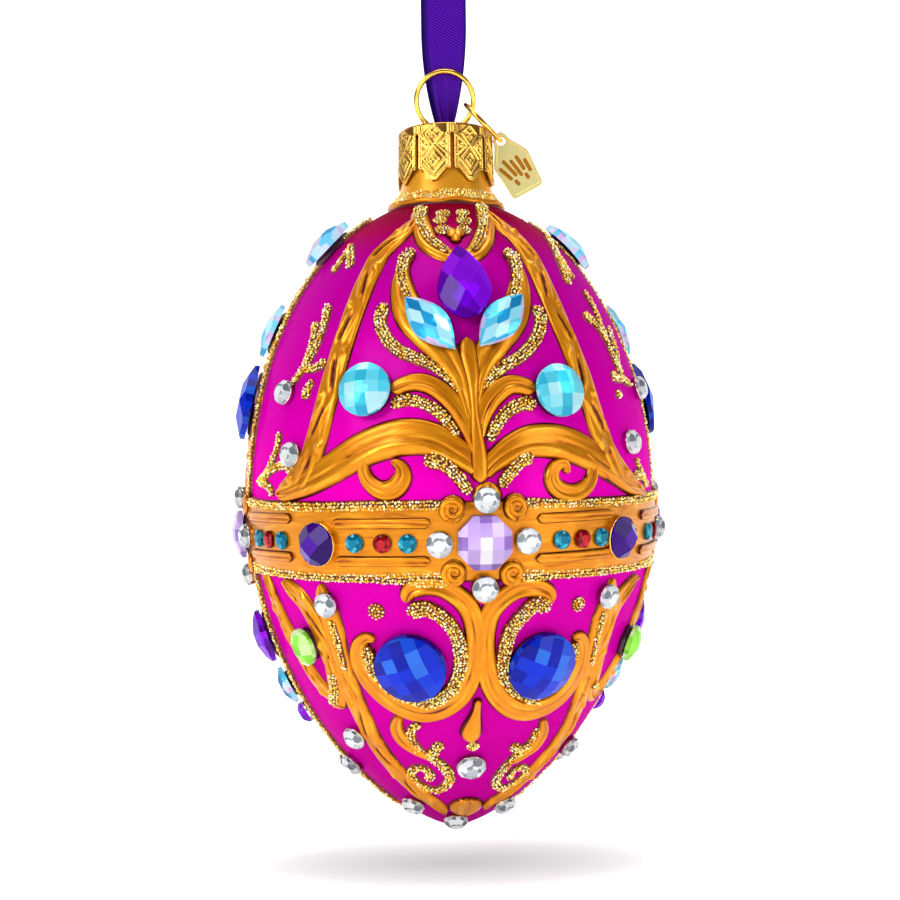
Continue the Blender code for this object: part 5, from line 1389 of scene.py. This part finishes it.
def tag_plate():
    """A small stamped plate: raised rim, eye hole and a fan of plain grooves."""
    half = TAG_WIDTH / 2
    work = bmesh.new()
    ring = [work.verts.new((x * half, -y * TAG_LENGTH, -TAG_THICK / 2)) for x, y in TAG_OUTLINE]
    base = work.faces.new(ring)
    raised = bmesh.ops.extrude_face_region(work, geom=[base])
    moved = [item for item in raised["geom"] if isinstance(item, bmesh.types.BMVert)]
    bmesh.ops.translate(work, verts=moved, vec=(0, 0, TAG_THICK))
    bmesh.ops.recalc_face_normals(work, faces=work.faces)
    for side in (1, -1):
        flat = [face for face in work.faces
                if abs(face.normal.z) > 0.9 and face.calc_center_median().z * side > 0]
        bmesh.ops.inset_region(work, faces=flat, thickness=TAG_RIM, depth=0.0)
        bmesh.ops.inset_region(work, faces=flat, thickness=0.10, depth=-TAG_PRESSED)
    mesh = bpy.data.meshes.new("tag_plate")
    work.to_mesh(mesh)
    work.free()
    body = new_object("tag_plate", mesh)
    bpy.ops.mesh.primitive_cylinder_add(vertices=32, radius=TAG_HOLE, depth=3)
    cutters = [bpy.context.object]
    for x, y, long in TAG_GROOVES:
        bpy.ops.mesh.primitive_cylinder_add(vertices=20, radius=GROOVE_RADIUS, depth=2 * GROOVE_DEPTH)
        groove = bpy.context.object
        for vert in groove.data.vertices:
            vert.co.y += (long * TAG_LENGTH / 2) * (1 if vert.co.y > 0 else -1)
        groove.data.transform(Matrix.Translation((x * half, -y * TAG_LENGTH, TAG_THICK / 2))
                              @ Matrix.Rotation(radians(10 - 16 * x), 4, "Z"))
        cutters.append(groove)
    for cutter in cutters:
        carve = body.modifiers.new("carve", "BOOLEAN")
        carve.operation, carve.object, carve.solver = "DIFFERENCE", cutter, "EXACT"
        bpy.ops.object.select_all(action="DESELECT")
        bpy.context.view_layer.objects.active = body
        bpy.ops.object.modifier_apply(modifier=carve.name)
        bpy.data.objects.remove(cutter, do_unlink=True)
    soften = body.modifiers.new("soften", "BEVEL")
    soften.width, soften.segments = 0.08, 2
    soften.limit_method, soften.angle_limit = "ANGLE", radians(40)
    bpy.ops.object.modifier_apply(modifier=soften.name)
    down = Vector((sin(TAG_SWING), 0, -cos(TAG_SWING)))
    right = Vector((cos(TAG_SWING), 0, sin(TAG_SWING)))
    low = jump_middle() + JUMP_DROP * JUMP_RADIUS
    eye = low + down * (TAG_HOLE - JUMP_WIRE - GAP)
    stand = Matrix((right, -down, Vector((0, -1, 0)))).transposed().to_4x4()
    body.data.materials.append(TAG_BRASS)
    body.data.materials.append(GROOVE_SHADE_BRASS)
    # The groove floors take the darker brass: painted shade.
    for face in body.data.polygons:
        deep = TAG_THICK / 2 - face.center.z
        face.material_index = 1 if 0.15 < deep < 0.32 and abs(face.center.x) < 0.9 * half else 0
    body.data.transform(Matrix.Scale(MM, 4) @ Matrix.Translation(eye) @ stand)
    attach(body, ROOT)
    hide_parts("tag")


RIBBON_WIDTH, RIBBON_FOOT_WIDTH, RIBBON_THICK = 6.0, 2.3, 0.35
RIBBON_GATHER = 14.0            # over this length the ribbon is gathered towards its knot
RIBBON_TIED = 1.4               # the knot's height above the cap
RIBBON_STRAND = [               # depth behind the hanger's plane and height, from the knot to the loop's top
    (0.35, -28.8), (0.4, -27.6), (0.7, -26.0), (1.1, -24.0), (1.25, -21.6), (1.5, -19.0), (1.8, -16.0),
    (2.1, -13.0), (2.4, -10.0), (2.6, -7.0), (2.7, -4.5), (2.55, -2.2), (2.0, -0.7), (1.1, -0.05)]
RIBBON_LOOP = RIBBON_STRAND + [(0.0, 0.17)] + [(-y, z) for y, z in reversed(RIBBON_STRAND)]


def ribbon_loop():
    """Satin ribbon in one loop, gathered into pleats towards the foot of the ring."""
    rows = np.array(RIBBON_LOOP)
    run = np.concatenate([[0], np.cumsum(np.hypot(*np.diff(rows, axis=0).T))])
    places = np.linspace(0, run[-1], 261)
    y, z = np.interp(places, run, rows[:, 0]), np.interp(places, run, rows[:, 1])
    kernel = np.hanning(13) / np.hanning(13).sum()
    for _ in range(2):
        y[6:-6] = np.convolve(y, kernel, "valid")
        z[6:-6] = np.convolve(z, kernel, "valid")
    z = np.minimum(z, RIBBON_THICK / 2)
    slope = np.stack([np.gradient(y), np.gradient(z)], axis=1)
    slope /= np.linalg.norm(slope, axis=1)[:, None]
    share = np.clip((z - CAP_TOP - RIBBON_TIED) / RIBBON_GATHER, 0, 1)
    eased = share * (2 - share)
    half = (RIBBON_FOOT_WIDTH + (RIBBON_WIDTH - RIBBON_FOOT_WIDTH) * eased) / 2
    a = np.linspace(-1, 1, 33)
    pleat = (1 - eased)[:, None] * (0.30 * np.sin(7.5 * a + 0.6)[None, :] + 0.12 * np.sin(17 * a)[None, :])
    sway = np.where(y > 0, -0.35, 0.25) * np.clip(-z / 8, 0, 1)
    thick = np.where(np.abs(a) > 0.9, 1.25, 0.9) * RIBBON_THICK / 2
    skins = []
    for side in (1, -1):
        off = pleat + side * thick[None, :]
        skins.append(np.stack([sway[:, None] + half[:, None] * a[None, :],
                               y[:, None] + off * slope[:, 1:2], z[:, None] - off * slope[:, :1]], axis=-1))
    count, per = skins[0].shape[:2]
    spread = np.broadcast_to((RIBBON_WIDTH / 2 * a)[None, :], (count, per))
    along = np.broadcast_to(places[:, None], (count, per))
    flow = np.stack([spread, along, np.zeros((count, per))], axis=-1)
    # Painted shade: darker along both edges and over the far strand.
    dark = 0.85 * np.clip((np.abs(a) - 0.86) / 0.06, 0, 1)[None, :] + np.where(y > 0, 0.25, 0.0)[:, None]
    piece = mesh_piece("satin_ribbon", np.vstack([skin.reshape(-1, 3) for skin in skins]),
                       sheet_faces(count, per), SATIN, "satin",
                       {"flow": ("FLOAT_VECTOR", np.vstack([flow.reshape(-1, 3)] * 2)),
                        "hollow": ("FLOAT", np.tile(dark.ravel(), 2))})
    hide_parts("ribbon")


def sight():
    """The camera, where the photographer's stood."""
    camera = new_object("camera", bpy.data.cameras.new("camera"))
    camera.location = Vector(CAMERA) * MM
    camera.rotation_euler = (pi / 2, radians(CAMERA_LEAN), 0)
    camera.data.lens = CAMERA_LENS
    camera.data.sensor_width = FILM
    camera.data.clip_start = 0.01
    bpy.context.scene.camera = camera


SOFTBOXES = [                   # place and size in metres, power in watts
    ("key_softbox", (-0.40, -0.42, 0.22), (0.32, 0.32), 2.3),
    ("fill_softbox", (0.45, -0.36, -0.02), (0.22, 0.5), 1.2),
    ("top_softbox", (0.0, -0.05, 0.5), (0.35, 0.35), 1.7),
    ("low_softbox", (0.05, -0.55, -0.12), (0.5, 0.06), 0.2)]
EGG_MIDDLE = (0, 0, -0.08)
ROOM_LIGHT = 0.2


def softbox(name, place, size, power):
    """A rectangular light that faces the egg."""
    light = bpy.data.lights.new(name, "AREA")
    light.shape = "RECTANGLE"
    light.size, light.size_y = size
    light.energy = power
    body = new_object(name, light)
    body.location = place
    body.rotation_euler = (Vector(EGG_MIDDLE) - Vector(place)).to_track_quat("-Z", "Y").to_euler()


def backdrop_paper():
    """White paper lit from behind, with a painted shadow: a wide shallow patch under the egg where it glows
    less and is coloured grey.
    """
    made, tree, shader = finish("white_backdrop_paper", Roughness=0.8, Emission_Color=(1, 1, 1, 1),
                                Specular_IOR_Level=0.1)
    place = node(tree, "ShaderNodeTexCoord").outputs["Object"]
    # The painted shadow: a wide shallow ellipse under the egg, dimmer and greyer.
    shadow_patch = node(tree, "ShaderNodeMapping", {"vector_type": "TEXTURE"}, {"Vector": place},
                 Location=(0.0, -0.003, 0.0), Scale=(0.050, 0.017, 1000.0))
    away = node(tree, "ShaderNodeVectorMath", {"operation": "LENGTH"}, {"Vector": shadow_patch.outputs["Vector"]})
    glow = node(tree, "ShaderNodeMapRange", {"interpolation_type": "SMOOTHSTEP"},
                {"Value": away.outputs["Value"]}, From_Min=0.0, From_Max=1.0, To_Min=0.55, To_Max=0.8)
    tree.links.new(glow.outputs["Result"], shader.inputs["Emission Strength"])
    shade = node(tree, "ShaderNodeValToRGB", links={"Fac": away.outputs["Value"]},
                 stops=[(0.0, "404040"), (0.5, "909090"), (1.0, "EEEEEE")])
    tree.links.new(shade.outputs["Color"], shader.inputs["Base Color"])
    return made


FLOOR_DROP = 4.6                # the floor below the tip, in millimetres, from the shadow in the photo
SWEEP_FRONT, SWEEP_BACK, SWEEP_BEND = -1500, 500, 400
SWEEP_TOP, SWEEP_HALF = 1600, 2200


def studio():
    """A white paper sweep, soft lights on both sides and a dim room."""
    for row in SOFTBOXES:
        softbox(*row)
    world = bpy.data.worlds.new("dim_room")
    bpy.context.scene.world = world
    world.use_nodes = True
    background = world.node_tree.nodes["Background"]
    background.inputs["Color"].default_value = (1, 1, 1, 1)
    background.inputs["Strength"].default_value = ROOM_LIGHT
    ground = TIP - FLOOR_DROP
    bend = [pi / 2 * k / 16 for k in range(17)]
    profile = [(SWEEP_FRONT, ground)]
    profile += [(SWEEP_BACK + SWEEP_BEND * sin(a), ground + SWEEP_BEND * (1 - cos(a))) for a in bend]
    profile.append((SWEEP_BACK + SWEEP_BEND, SWEEP_TOP))
    points = [(x, y, z) for y, z in profile for x in (-SWEEP_HALF, SWEEP_HALF)]
    faces = [[2 * k, 2 * k + 1, 2 * k + 3, 2 * k + 2] for k in range(len(profile) - 1)]
    mesh = bpy.data.meshes.new("paper_sweep")
    mesh.from_pydata((np.array(points) * MM).tolist(), [], faces)
    mesh.shade_smooth()
    sweep = new_object("paper_sweep", mesh)
    mesh.materials.append(backdrop_paper())


sight()
ribbon_loop()
glass_shell()
neck_collar()
enamel()
belt()
glitter()
stone_beds(stones())
stamped_cap()
hanger()
small_ring()
tag_plate()
studio()
bpy.context.scene.view_settings.view_transform = "Standard"
